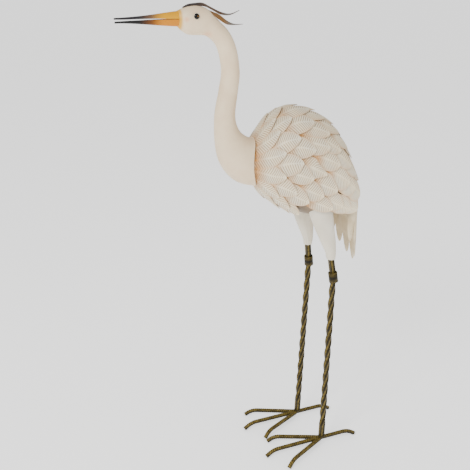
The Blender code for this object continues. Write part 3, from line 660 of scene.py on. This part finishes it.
BODY = np.array(BODY_SECTIONS)
BODY_MIDDLES = np.column_stack([(BODY[:, 0] + BODY[:, 2]) / 2, (BODY[:, 1] + BODY[:, 3]) / 2, BODY[:, 4]])
BODY_KNOTS = knots_of(BODY_MIDDLES, 0, 1, 2)
BODY_END = BODY_KNOTS[-1]


def squarish(angle, half_width, half_height, fullness):
    """Points of a superellipse, measured from its middle."""
    c = np.cos(angle)
    s = np.sin(angle)
    x = half_width * np.sign(c) * np.abs(c) ** (2 / fullness)
    z = half_height * np.sign(s) * np.abs(s) ** (2 / fullness)
    return x, z


def body_skin(along, angle):
    """Points of the body's skin; angle 0 is the bird's left side, 90 its back."""
    along, angle = np.broadcast_arrays(np.asarray(along, float), np.asarray(angle, float))
    rows = smooth_at(BODY_KNOTS, BODY, along)
    top_y, top_z, low_y, low_z, half_width = np.moveaxis(rows, -1, 0)
    half_height = np.hypot(top_y - low_y, top_z - low_z) / 2
    turn = np.radians(angle)
    fullness = np.where(np.sin(turn) > 0, BODY_FULLNESS_TOP, BODY_FULLNESS_BELLY)
    fuller = fullness - BODY_FULLNESS_COLLAR
    fullness = BODY_FULLNESS_COLLAR + fuller * np.clip(along / BELLY_FULL_FROM, 0, 1)
    x, up = squarish(turn, half_width, half_height, fullness)
    share = up / half_height / 2
    fade = np.clip(1.0 - along / BODY_SADDLE_FADE, 0, 1) ** 2
    y = (top_y + low_y) / 2 + share * (top_y - low_y) - COLLAR_SADDLE * fade * np.cos(turn) ** 2
    z = (top_z + low_z) / 2 + share * (top_z - low_z)
    return np.stack([x, y, z], axis=-1)


def unit(vectors):
    """Vectors brought to a length of one."""
    return vectors / np.maximum(np.linalg.norm(vectors, axis=-1, keepdims=True), 1e-9)


def over_body(along, angle, height):
    """Points that stand off the body's skin along its normal."""
    step = 0.5
    along, angle, height = np.broadcast_arrays(*(np.asarray(v, float) for v in (along, angle, height)))
    here = np.clip(along, step, BODY_END - step)
    forward = body_skin(here + step, angle) - body_skin(here - step, angle)
    around = body_skin(here, angle + step) - body_skin(here, angle - step)
    normal = unit(np.cross(around, forward))
    turn = np.radians(angle)
    facing = normal[..., 0] * np.cos(turn) + normal[..., 2] * np.sin(turn)
    normal = normal * np.where(facing < 0, -1.0, 1.0)[..., None]
    return body_skin(here, angle) + unit(forward) * (along - here)[..., None] + normal * height[..., None]


def stretch(along, angle):
    """How long the skin is there for one unit of distance along the body."""
    step = 2.0
    here = np.clip(along, step, BODY_END - step)
    return np.linalg.norm(body_skin(here + step, angle) - body_skin(here - step, angle), axis=-1) / (2 * step)


def make_neck_and_head(material):
    """The rolled neck tube with the head, open at the collar where it laps over the first leaves."""
    rows = np.array(NECK_SECTIONS)
    knots = knots_of(rows, 0, 1)
    head = np.linspace(0, knots[HEAD_END], HEAD_STEPS)[:-1]
    stations = np.concatenate([head, np.linspace(knots[HEAD_END], knots[-1], NECK_STEPS)])
    angle = circle(NECK_SIDES)
    rings = [neck_ring(smooth_at(knots, rows, station), angle) for station in stations]
    front = rings[0]
    rings.insert(0, front.mean(axis=0) + (front - front.mean(axis=0)) * 0.97 + np.array([0.0, -0.3, 0.0]))
    last = smooth_at(knots, rows, knots[-1])
    for ahead, thinner in (
        (-COLLAR_LIP, COLLAR_LIP),
        (-COLLAR_LIP, COLLAR_WALL),
        (1.0, COLLAR_WALL + COLLAR_LIP),
        (COLLAR_DEPTH, COLLAR_WALL + COLLAR_TAPER),
    ):
        ring = neck_ring(last - np.array([0.0, 0.0, thinner, thinner, 0.0, 0.0]), angle)
        rings.append(ring - np.array([0.0, ahead, 0.0]))
    points, faces = closed_tube(rings)
    piece("neck_and_head_skin", points, faces, material, ["neck_and_head"])


def neck_ring(section, angle):
    """Points round one section of the neck, leaned and drawn back at its sides."""
    y, z, half_thick, half_width, lean, saddle = section
    lean = math.radians(lean)
    up = half_thick * np.sin(angle)
    along_y = up * math.sin(lean) - COLLAR_SADDLE * saddle * np.cos(angle) ** 2
    return np.stack([half_width * np.cos(angle), y + along_y, z + up * math.cos(lean)], axis=-1)


def make_eyes(glass, rim_paint):
    """Glass eyes set in a narrow rim."""
    for side, word in SIDES:
        middle = np.array([side * EYE[0], EYE[1], EYE[2]])
        turn = circle(EYE_SIDES)
        rings = []
        for t in np.linspace(0.02, math.pi / 2 + 0.3, EYE_STEPS):
            radius = EYE_RADIUS * math.sin(t)
            x = np.full_like(turn, side * EYE_RADIUS * EYE_BULGE * math.cos(t))
            y = radius * np.cos(turn) * side
            rings.append(middle + np.stack([x, y, radius * np.sin(turn)], axis=-1))
        points, faces = closed_tube(rings)
        piece(f"eye_{word}_glass", points, faces, glass, [f"eye_{word}"])
        section = circle(EYE_RIM_SIDES)
        reach = EYE_RADIUS + EYE_RIM_GAP + EYE_RIM_WIDTH * np.cos(section)
        lift = EYE_RIM_LIFT + EYE_RIM_HEIGHT * np.sin(section)
        rings = []
        for turn in circle(EYE_RIM_STEPS):
            out = np.array([0.0, math.cos(turn), math.sin(turn)])
            rings.append(middle + reach[:, None] * out + lift[:, None] * np.array([side, 0.0, 0.0]))
        faces = hoop_faces(EYE_RIM_STEPS, EYE_RIM_SIDES)
        piece(f"eye_{word}_rim", rings, faces, rim_paint)


def make_beak(upper_paint, lower_paint):
    """Two mandibles with a soft ridge, close together at the face and open towards the tips."""
    for name, table, upper, paint in (
        ("beak_upper", BEAK_UPPER, True, upper_paint),
        ("beak_lower", BEAK_LOWER, False, lower_paint),
    ):
        rows = np.array(table)
        knots = knots_of(rows, 0)
        rings = []
        for station in np.linspace(0, knots[-1], BEAK_STEPS):
            y, high, low, half_width = smooth_at(knots, rows, station)
            flat, rise = (low, high - low) if upper else (high, low - high)
            arc = np.linspace(0, math.pi, BEAK_ARC_POINTS)
            x = half_width * np.cos(arc)
            z = flat + rise * np.sin(arc) ** BEAK_ROUNDNESS
            mouth = np.linspace(-half_width, half_width, BEAK_MOUTH_POINTS)[1:-1]
            x = np.concatenate([x, mouth])
            z = np.concatenate([z, np.full_like(mouth, flat + BEAK_MOUTH_HOLLOW * rise)])
            rings.append(np.stack([x, np.full(len(x), y), z], axis=-1))
        points, faces = closed_tube(rings)
        piece(f"{name}_shell", points, faces, paint, [name], sharp=50.0)


def make_crest(upper_paint, lower_paint):
    """Two cut plumes with fine strands along them, swept back from the brow."""
    for name, table, paint in (
        ("crest_plume_upper", CREST_UPPER, upper_paint),
        ("crest_plume_lower", CREST_LOWER, lower_paint),
    ):
        rows = np.array(table)
        knots = knots_of(rows, 0, 1)
        stations = np.linspace(0, knots[-1], PLUME_STEPS)
        columns = np.linspace(-1, 1, PLUME_COLUMNS)
        y, z, half_width, lean, x = np.moveaxis(smooth_at(knots, rows, stations), -1, 0)
        half_width = np.maximum(half_width, PLUME_LEAST)
        turn = np.radians(lean)
        across = np.stack([np.cos(turn), 0 * turn, -np.sin(turn)], axis=-1) * half_width[:, None]
        middle = np.stack([x, y, z - 0.35], axis=-1)
        top = middle[:, None] + across[:, None] * columns[None, :, None]
        strand = 0.5 + 0.5 * np.cos(columns * math.pi * STRANDS)
        droop = PLUME_DROOP * half_width[:, None] * np.abs(columns) ** 2
        droop = droop + STRAND_DEPTH * (1 - strand)[None, :] * np.minimum(1, half_width / 3)[:, None]
        top[..., 2] -= droop
        bottom = top - np.array([0.0, 0.0, PLUME_SHEET])
        points, faces = wall(top, bottom)
        groove = np.broadcast_to((1 - strand)[None, :], top.shape[:2])
        layers = {"groove": on_both(groove)}
        piece(f"{name}_strands", points, faces, paint, [name], layers)


def make_body(material):
    """The shell that carries the leaves, in dark paint that is painted shade between and under them."""
    angle = np.linspace(0, 360, BODY_SIDES, endpoint=False)
    rings = [body_skin(along, angle) for along in np.linspace(0.0, BODY_END, BODY_STEPS)]
    last = rings[-1]
    middle = last.mean(axis=0)
    ahead = unit(middle - body_skin(BODY_END - 8.0, angle).mean(axis=0))
    for turn in np.radians(np.linspace(0, 80, 8)[1:]):
        rings.append(middle + (last - middle) * math.cos(turn) + ahead * BODY_CAP * math.sin(turn))
    points, faces = closed_tube(rings)
    piece("body_shell", points, faces, material, ["body"])


def tip_share(share, point):
    """Width of a leaf at a share of its length; a higher point is a sharper tip."""
    past = np.clip(2.0 * share - 1.0, 0, 1)
    root = np.clip(share / 0.35, -0.5, 1)
    return (1.0 - past ** (LEAF_SHOULDER - 0.8 * point)) ** (0.45 + 0.45 * point) * (0.8 + 0.2 * root)


def per_degree(along, angle):
    """How long the skin is there for one degree round the body."""
    return np.linalg.norm(body_skin(along, angle + 0.5) - body_skin(along, angle - 0.5), axis=-1)


def make_leaf(name, node, start, middle, half_cell, sway, point, vein, material):
    """One stamped leaf: its grid lines run along its slanting veins, which are pressed in."""
    halfway = start + LEAF_LENGTH / 2
    run = LEAF_LENGTH / math.sqrt(float(stretch(halfway, middle))) + LEAF_SHIFT * math.sin(2 * sway)
    swing = LEAF_SWAY * math.sin(sway)
    half_width = min(LEAF_WIDER * half_cell * float(per_degree(halfway, middle)), LEAF_HALF_WIDTH)
    length = float(np.hypot(run * stretch(halfway, middle), swing * per_degree(halfway, middle)))
    stations = np.arange(-VEIN_SLANT * half_width, length, VEIN_PITCH / VEIN_SAMPLES)
    stations = np.append(stations, length)
    edge = np.full_like(stations, half_width)
    for _ in range(LEAF_EDGE_ROUNDS):
        edge = 0.5 * edge + 0.5 * half_width * tip_share((stations + VEIN_SLANT * edge) / length, point)
    across = np.linspace(-1, 1, 2 * LEAF_COLUMNS + 1)
    aside = across[None, :] * edge[:, None]
    share = np.minimum((stations[:, None] + VEIN_SLANT * np.abs(aside)) / length, 1.0)
    along = start + run * share
    angle = middle + swing * share
    skin = stretch(along, angle)
    degree = per_degree(along, angle)
    ahead = unit(np.stack([skin * run, degree * swing], axis=-1))
    along = np.maximum(along - ahead[..., 1] * aside / skin, 0.0)
    angle = angle + ahead[..., 0] * aside / degree
    reach = aside / half_width
    groove = (0.5 + 0.5 * np.cos(stations / VEIN_PITCH * math.tau)) ** 2
    fade = np.clip((1 - np.abs(across)) / VEIN_RIM_FADE, 0, 1)
    fade = fade * np.clip((np.abs(across) - VEIN_START) / VEIN_START_FADE, 0, 1)
    groove = groove[:, None] * fade[None, :] * np.clip((1 - share) / VEIN_TIP_FADE, 0, 1)
    rib = np.exp(-((across / MIDRIB_WIDTH) ** 2))[None, :] * np.clip((1 - share) / MIDRIB_TIP_FADE, 0, 1)
    height = LEAF_BASE + LEAF_RISE * run * np.maximum(share, 0)
    height = height + LEAF_ARCH * (1 - reach**2) * np.clip(share / LEAF_ARCH_RUN, 0.2, 1)
    height = height - LEAF_TILT * reach * np.clip(3 * math.cos(math.radians(middle)), -1, 1)
    top = over_body(along, angle, height - vein * groove + MIDRIB_HEIGHT * rib)
    bottom = over_body(along, angle, height - LEAF_SHEET - LEAF_EXTRA)
    points, faces = wall(top, bottom)
    # painted shade on the leaf: peach at the root
    root = np.clip(1 - (share - LEAF_ROOT_SHADE) / LEAF_ROOT_FADE, 0, 1)
    # painted shade on the leaf: peach along the rim
    rim = np.broadcast_to(np.abs(across)[None, :] ** LEAF_RIM_POWER, share.shape)
    layers = {
        # painted shade in the vein grooves
        "groove": on_both(groove * min(1.0, vein / 0.5 + 0.15)),
        "root": on_both(root),
        "edge": on_both(rim),
        # painted shade on the undersides
        "under": np.repeat([0.0, 1.0], share.size),
    }
    piece(name, points, faces, material, [node], layers)


def make_leaves(material):
    """Single leaves, each standing for its share of a part that joins neighbours in its row."""
    for row, (start, count, low, high, point, vein) in enumerate(LEAF_ROWS):
        cell = (high - low) / count
        for index in range(count):
            group = index // LEAVES_TOGETHER
            members = min(LEAVES_TOGETHER, count - group * LEAVES_TOGETHER)
            word = "feather" if members == 1 else "feathers"
            node = f"{word}_row{row + 1}_{group + 1}"
            middle = low + cell * (index + 0.5)
            sway = SWAY_STEP * index + row
            name = f"leaf_row{row + 1}_{index + 1}"
            make_leaf(name, node, start, middle, cell / 2, sway, point, vein, material)


def tail_place(angle, share, lift):
    """Points of the surface that the tail strips lie in: on the body up to share 0, hanging to share 1."""
    aside = np.abs(angle - 90.0) / TAIL_WIDEST
    leave = TAIL_ROOT + (BODY_END - TAIL_ROOT) * (1.0 - TAIL_EARLIER * aside**TAIL_SIDE_POWER)
    on_body = over_body(leave + (leave - TAIL_ROOT) * np.minimum(share, 0), angle, lift)
    edge = over_body(leave, angle, lift)
    before = over_body(leave - TAIL_LEAD, angle, lift)
    turn = np.radians((90.0 - angle) / TAIL_WIDEST * TAIL_PLAN_ANGLE)
    out = lift - TAIL_LIFT
    x = (TAIL_HALF_WIDTH + out) * np.sin(turn)
    y = TAIL_CENTRE_Y + (TAIL_HALF_DEPTH + out) * np.cos(turn)
    tip = np.stack([x, y, TAIL_TIP_HEIGHT + TAIL_SIDE_RISE * aside**TAIL_SIDE_POWER], axis=-1)
    fall = np.zeros_like(tip)
    fall[..., 2] = tip[..., 2] - edge[..., 2]
    lead = unit(edge - before) * np.abs(fall[..., 2:]) * TAIL_SWING + fall * TAIL_FALL
    t = np.maximum(share, 0)[..., None]
    hanging = (
        edge * (2 * t**3 - 3 * t**2 + 1)
        + lead * (t**3 - 2 * t**2 + t)
        + tip * (3 * t**2 - 2 * t**3)
        + fall * (t**3 - t**2)
    )
    return np.where((share < 0)[..., None], on_body, hanging)


def make_tail(material):
    """Long plain strips that lap over each other and hang from under the last leaves."""
    covered = np.linspace(-1, 0, TAIL_COVERED_STEPS)[:-1]
    share = np.concatenate([covered, np.linspace(0, 1, TAIL_STEPS)])
    columns = np.linspace(-1, 1, TAIL_COLUMNS)
    past = np.clip((share - TAIL_TAPER_FROM) / (1.0 - TAIL_TAPER_FROM), 0, 1)
    taper = np.sqrt(np.clip(1.0 - past**TAIL_TAPER_POWER, 0, 1))
    for index in range(TAIL_STRIPS):
        name = f"tail_strip_{index + 1}"
        middle = 90.0 + TAIL_CELL * (index - (TAIL_STRIPS - 1) / 2)
        lift = TAIL_LIFT - (TAIL_LAYER if index % 2 == 0 else 0.0)
        near = tail_place(np.full_like(share, middle - 1.0), share, np.full_like(share, lift))
        far = tail_place(np.full_like(share, middle + 1.0), share, np.full_like(share, lift))
        degree = np.linalg.norm(far - near, axis=-1) / 2
        reach = TAIL_STRIP_WIDTH / 2 / degree * taper
        angle = middle + columns[None, :] * reach[:, None]
        shares = np.broadcast_to(share[:, None], angle.shape)
        arch = TAIL_ARCH * (1 - columns**2)[None, :] * taper[:, None]
        top = tail_place(angle, shares, lift + arch)
        bottom = top - grid_normals(top) * TAIL_SHEET
        points, faces = wall(top, bottom)
        piece(f"{name}_sheet", points, faces, material, [name])


def make_thighs(material):
    """Rolled cones whose edges lap at a seam on the inner side."""
    rows = np.array(THIGH_SECTIONS)
    knots = knots_of(rows, 2)
    angle = np.linspace(THIGH_SEAM, THIGH_SEAM + 360 + THIGH_SEAM_LAP, THIGH_SIDES)
    lap = np.clip((angle - THIGH_SEAM - THIGH_SEAM_FROM) / THIGH_SEAM_RUN, 0, 1) * THIGH_SEAM_RISE
    turn = np.radians(angle)
    for side, word in SIDES:
        top = []
        bottom = []
        for station in np.linspace(0, knots[-1], THIGH_STEPS):
            x, y, z, half_width, half_depth = smooth_at(knots, rows, station)
            for grid, thinner in ((top, 0.0), (bottom, THIGH_SHEET)):
                across = x + (half_width - thinner + lap) * np.cos(turn)
                deep = y + (half_depth - thinner + lap) * np.sin(turn)
                grid.append(np.stack([side * across, deep, np.full(len(turn), z)], axis=-1))
        if side > 0:
            points, faces = wall(np.array(top)[::-1], np.array(bottom)[::-1])
        else:
            points, faces = wall(np.array(top), np.array(bottom))
        piece(f"thigh_{word}_cone", points, faces, material, [f"thigh_{word}"])


def bar_section():
    """A square with rounded corners and, for each of its points, how much khaki gold it gets, partly wear and
    partly painted highlight.
    """
    points = []
    wear_and_highlight = []
    half = LEG_BAR / 2
    for corner in range(4):
        turn = math.tau * corner / 4
        c, s = math.cos(turn), math.sin(turn)
        for a in np.radians(CORNER_ANGLES):
            x = half - BAR_CORNER + BAR_CORNER * math.cos(a)
            y = half - BAR_CORNER + BAR_CORNER * math.sin(a)
            points.append((x * c - y * s, x * s + y * c))
            wear_and_highlight.append(CORNER_WEAR_AND_HIGHLIGHT)
        for t, worn_and_lit in FLAT_WEAR_AND_HIGHLIGHT:
            x = (half - BAR_CORNER) * (1 - 2 * t)
            y = half
            points.append((x * c - y * s, x * s + y * c))
            wear_and_highlight.append(worn_and_lit)
    return np.array(points), np.array(wear_and_highlight)


def across_axis(axis):
    """Two directions square to an axis, the first as nearly sideways as can be."""
    side_on = unit(np.array([1.0, 0.0, 0.0]) - axis * axis[0])
    return side_on, np.cross(axis, side_on)


def make_bar(node, start, end, stations, turns, material):
    """A square bar, turned about its axis by so many radians at each station."""
    axis = unit(end - start)
    side_on, other = across_axis(axis)
    section, wear_and_highlight = bar_section()
    rings = []
    for distance, turn in zip(stations, turns + math.pi / 2):
        c, s = math.cos(turn), math.sin(turn)
        x = section[:, 0] * c - section[:, 1] * s
        y = section[:, 0] * s + section[:, 1] * c
        rings.append(start + axis * distance + x[:, None] * side_on + y[:, None] * other)
    points, faces = closed_tube(rings)
    layers = {"wear_and_highlight": np.tile(wear_and_highlight, len(rings))}
    piece(f"{node}_bar", points, faces, material, [node], layers, sharp=60.0)


def make_legs(material):
    """Twisted lower legs, straight bars up into the thighs, and the sleeves over their joints."""
    for side, word in SIDES:
        ankle = np.array([side * ANKLE_SPREAD / 2, 0.0, TOE_HEIGHT + TOE_ROD / 2])
        knee = np.array([side * KNEE[0], KNEE[1], KNEE[2]])
        top = np.array([side * THIGH_BAR_TOP[0], THIGH_BAR_TOP[1], THIGH_BAR_TOP[2]])
        stations = np.linspace(0, float(np.linalg.norm(knee - ankle)), LEG_STEPS)
        turns = math.tau * np.maximum(0.0, stations - LEG_STRAIGHT_END) / LEG_TWIST_PITCH
        make_bar(f"lower_leg_{word}", ankle, knee, stations, turns, material)
        axis = unit(top - knee)
        start = knee + axis * THIGH_BAR_START
        stations = np.linspace(0, THIGH_BAR_LENGTH, THIGH_BAR_STEPS)
        make_bar(f"thigh_bar_{word}", start, top, stations, np.zeros_like(stations), material)
        make_sleeve(word, knee, axis, material)


def make_sleeve(word, knee, axis, material):
    """A short split tube, its slit towards the back."""
    side_on, other = across_axis(axis)
    start = SLEEVE_SLIT_ANGLE + SLEEVE_SLIT / 2
    turn = np.radians(np.linspace(start, start + 360 - SLEEVE_SLIT, SLEEVE_SIDES))
    outer = SLEEVE_INNER + SLEEVE_WALL
    half = SLEEVE_LENGTH / 2
    profile = (
        (outer - SLEEVE_CHAMFER, half),
        (outer, half - SLEEVE_EDGE),
        (outer - SLEEVE_WAIST, 0.0),
        (outer, SLEEVE_EDGE - half),
        (outer - SLEEVE_CHAMFER, -half),
    )
    top = []
    bottom = []
    for radius, z in profile:
        out = np.cos(turn)[:, None] * side_on + np.sin(turn)[:, None] * other
        top.append(knee + axis * z + out * radius)
        bottom.append(knee + axis * z + out * SLEEVE_INNER)
    points, faces = wall(np.array(top)[::-1], np.array(bottom)[::-1])
    wear_and_highlight = np.zeros((2, len(profile), len(turn)))
    wear_and_highlight[0, (0, 1, 3, 4)] = SLEEVE_RUBBED
    layers = {"wear_and_highlight": wear_and_highlight[:, ::-1]}
    name = f"knee_sleeve_{word}"
    piece(f"{name}_tube", points, faces, material, [name], layers)


def toe_slope(beyond):
    """How steeply a toe goes down past its bend."""
    return math.atan2(TOE_HEIGHT - TOE_ROD / 4, beyond)


def toe_path(outward_angle, reach, beyond, side):
    """Points of a toe's axis: level, round its bend, and down to the ground."""
    turn = math.radians(outward_angle)
    direction = np.array([side * math.sin(turn), -math.cos(turn), 0.0])
    slope = toe_slope(beyond)
    steep = direction * math.cos(slope) - np.array([0.0, 0.0, math.sin(slope)])
    corner = direction * reach
    tip = corner + steep * ((TOE_HEIGHT - TOE_ROD / 2 * math.cos(slope)) / math.sin(slope))
    bend = TOE_ROD * TOE_BEND
    before = corner - direction * bend
    after = corner + steep * bend
    points = [direction * distance for distance in np.linspace(0, reach - bend, TOE_STEPS)]
    for t in np.linspace(0, 1, TOE_BEND_STEPS)[1:]:
        points.append(before * (1 - t) ** 2 + 2 * corner * t * (1 - t) + after * t**2)
    for t in np.linspace(0, 1, TOE_BEND_STEPS)[1:]:
        points.append(after * (1 - t) + tip * t)
    return points


def inner_toe_angle():
    """The angle inwards that brings the inner toe's tip close to the other foot's."""
    reach, beyond = INNER_TOE
    slope = toe_slope(beyond)
    reach += (TOE_HEIGHT / math.sin(slope) - TOE_ROD / 6) * math.cos(slope)
    aside = (ANKLE_SPREAD - INNER_TOES_APART) / 2 / math.hypot(reach, TOE_ROD / 2)
    return math.degrees(math.asin(aside) - math.atan2(TOE_ROD / 2, reach))


def resample(points, step):
    """Points at even steps along a path, and how far along it they lie."""
    points = np.array(points)
    steps = np.linalg.norm(np.diff(points, axis=0), axis=1)
    along = np.concatenate([[0.0], np.cumsum(steps)])
    where = np.arange(0, along[-1], step)
    where = np.append(where, along[-1])
    return np.stack([np.interp(where, along, points[:, k]) for k in range(3)], axis=-1), where


def make_rod(name, node, path, material):
    """A ribbed rod along a path, cut square at its ends."""
    points, along = resample(path, ROD_STEP)
    tangent = unit(np.gradient(points, axis=0))
    across = unit(np.cross(tangent, np.array([0.0, 0.0, 1.0])))
    up = np.cross(across, tangent)
    turn = circle(ROD_SIDES)
    slanted = along[:, None] + RIB_SLANT * np.cos(turn)[None, :] * TOE_ROD / 2
    rib = np.clip(np.cos(slanted * math.tau / RIB_PITCH) * 1.8 - 0.5, 0, 1)
    rib = rib * np.clip(np.abs(np.sin(turn)) * 3 - 0.3, 0, 1)[None, :]
    seam = np.exp(-((np.sin(turn) / ROD_SEAM_WIDTH) ** 2))[None, :]
    height = np.maximum(rib, ROD_SEAM_HEIGHT * seam)
    radius = TOE_ROD / 2 - RIB_HEIGHT + RIB_HEIGHT * height
    # painted highlight: the upper side of the rod gets the khaki gold, where light falls from above, and more
    # of it on the raised ribs, where it is also wear
    upwards = np.clip(1.3 * np.sin(turn) + 0.15, 0, 1)[None, :]
    worn_and_lit = upwards * (0.35 + 0.65 * height)
    out = np.cos(turn)[None, :, None] * across[:, None] + np.sin(turn)[None, :, None] * up[:, None]
    rings = points[:, None] + out * radius[..., None]
    solid, faces = closed_tube(rings)
    piece(name, solid, faces, material, [node], {"wear_and_highlight": worn_and_lit}, sharp=70.0)


def make_feet(material):
    """Each foot: a long rod from middle toe to rear toe, a rod on each side, and the weld round the leg."""
    for side, word in SIDES:
        ankle = np.array([side * ANKLE_SPREAD / 2, 0.0, TOE_HEIGHT])
        ahead = toe_path(*MIDDLE_TOE, side)
        behind = toe_path(*REAR_TOE, side)
        path = [ankle + p for p in behind[::-1] + ahead[1:]]
        make_rod(f"long_toe_{word}", f"middle_and_rear_toe_{word}", path, material)
        for toe, sizes in (("outer", OUTER_TOE), ("inner", (-inner_toe_angle(), *INNER_TOE))):
            path = [ankle + p for p in toe_path(*sizes, side)[SIDE_TOE_FIRST:]]
            make_rod(f"{toe}_toe_{word}_rod", f"{toe}_toe_{word}", path, material)
        make_weld(word, ankle + np.array([0.0, 0.0, TOE_ROD / 2]), material)


def make_weld(word, middle, material):
    """A lumpy weld bead round the foot of the leg."""
    section = circle(WELD_SIDES)
    rings = []
    for turn in circle(WELD_STEPS):
        lump = 1.0 + 0.16 * math.sin(turn * 9) + 0.1 * math.sin(turn * 4 + 1)
        reach = LEG_BAR * WELD_RADIUS + WELD_HALF_WIDTH * lump * np.cos(section)
        lift = WELD_LIFT + WELD_HALF_HEIGHT * lump * np.sin(section)
        out = np.array([math.cos(turn), math.sin(turn), 0.0])
        rings.append(middle + reach[:, None] * out + lift[:, None] * np.array([0.0, 0.0, 1.0]))
    faces = hoop_faces(WELD_STEPS, WELD_SIDES)
    layers = {"wear_and_highlight": np.full(WELD_STEPS * WELD_SIDES, WELD_RUBBED)}
    piece(f"ankle_weld_{word}", rings, faces, material, layers=layers)


def make_studio():
    """A white floor that runs out of the picture, soft lights and the camera."""
    mesh = bpy.data.meshes.new("floor")
    far = FLOOR_REACH
    corners = [(-far, -far, 0), (far, -far, 0), (far, far, 0), (-far, far, 0)]
    mesh.from_pydata(corners, [], [(0, 1, 2, 3)])
    mesh.materials.append(floor_paint())
    floor = bpy.data.objects.new("floor", mesh)
    bpy.context.scene.collection.objects.link(floor)
    world = bpy.data.worlds.new("studio")
    world.use_nodes = True
    sky = world.node_tree.nodes["Background"]
    sky.inputs["Color"].default_value = (1.0, 1.0, 1.0, 1.0)
    sky.inputs["Strength"].default_value = SKY_STRENGTH
    bpy.context.scene.world = world
    for name, place, size, power in LAMPS:
        light = bpy.data.lights.new(name, "AREA")
        light.size = size
        light.energy = power
        lamp = bpy.data.objects.new(name, light)
        lamp.location = place
        aim = Vector(LAMP_TARGET) - Vector(place)
        lamp.rotation_euler = aim.to_track_quat("-Z", "Y").to_euler()
        bpy.context.scene.collection.objects.link(lamp)
    lens = bpy.data.cameras.new("camera")
    lens.lens = CAMERA_LENS
    lens.sensor_width = CAMERA_SENSOR
    lens.shift_x = -HALF_PIXEL
    lens.shift_y = HALF_PIXEL
    lens.clip_end = CAMERA_FAR
    camera = bpy.data.objects.new("camera", lens)
    camera.location = Vector((np.array(CAMERA_PLACE) + SHIFT) * MM)
    camera.rotation_euler = tuple(math.radians(a) for a in CAMERA_TURN)
    bpy.context.scene.collection.objects.link(camera)
    bpy.context.scene.camera = camera


def main():
    """Mixes the paints and makes the pieces, the studio and the camera."""
    sheet = plain_paint("white enamel on sheet", "E6DECB", "DAD0BA", 45.0)
    tail_sheet = plain_paint("white enamel on the tail", "E2D2B2", "C8B48E", 30.0)
    # painted shade: the shell seen between and under the leaves is dark brown
    shell = plain_paint("painted shade on the shell under the leaves", "8A7356", "6E5A42", 30.0)
    bronze = bronze_bar()
    make_neck_and_head(neck_paint())
    make_eyes(eye_glass(), sheet)
    make_beak(
        beak_paint("yellow-orange enamel on the upper beak", "D09400", "5A4440", "2A282A"),
        beak_paint("orange enamel on the lower beak", "C47A00", "5A2A04", "060404"),
    )
    make_crest(
        crest_paint("brown enamel on the upper plume", "5E3F22"),
        crest_paint("gold-brown enamel on the lower plume", "8A5E24"),
    )
    make_body(shell)
    make_leaves(leaf_paint())
    make_tail(tail_sheet)
    make_thighs(sheet)
    make_legs(bronze)
    make_feet(bronze)
    make_studio()


main()
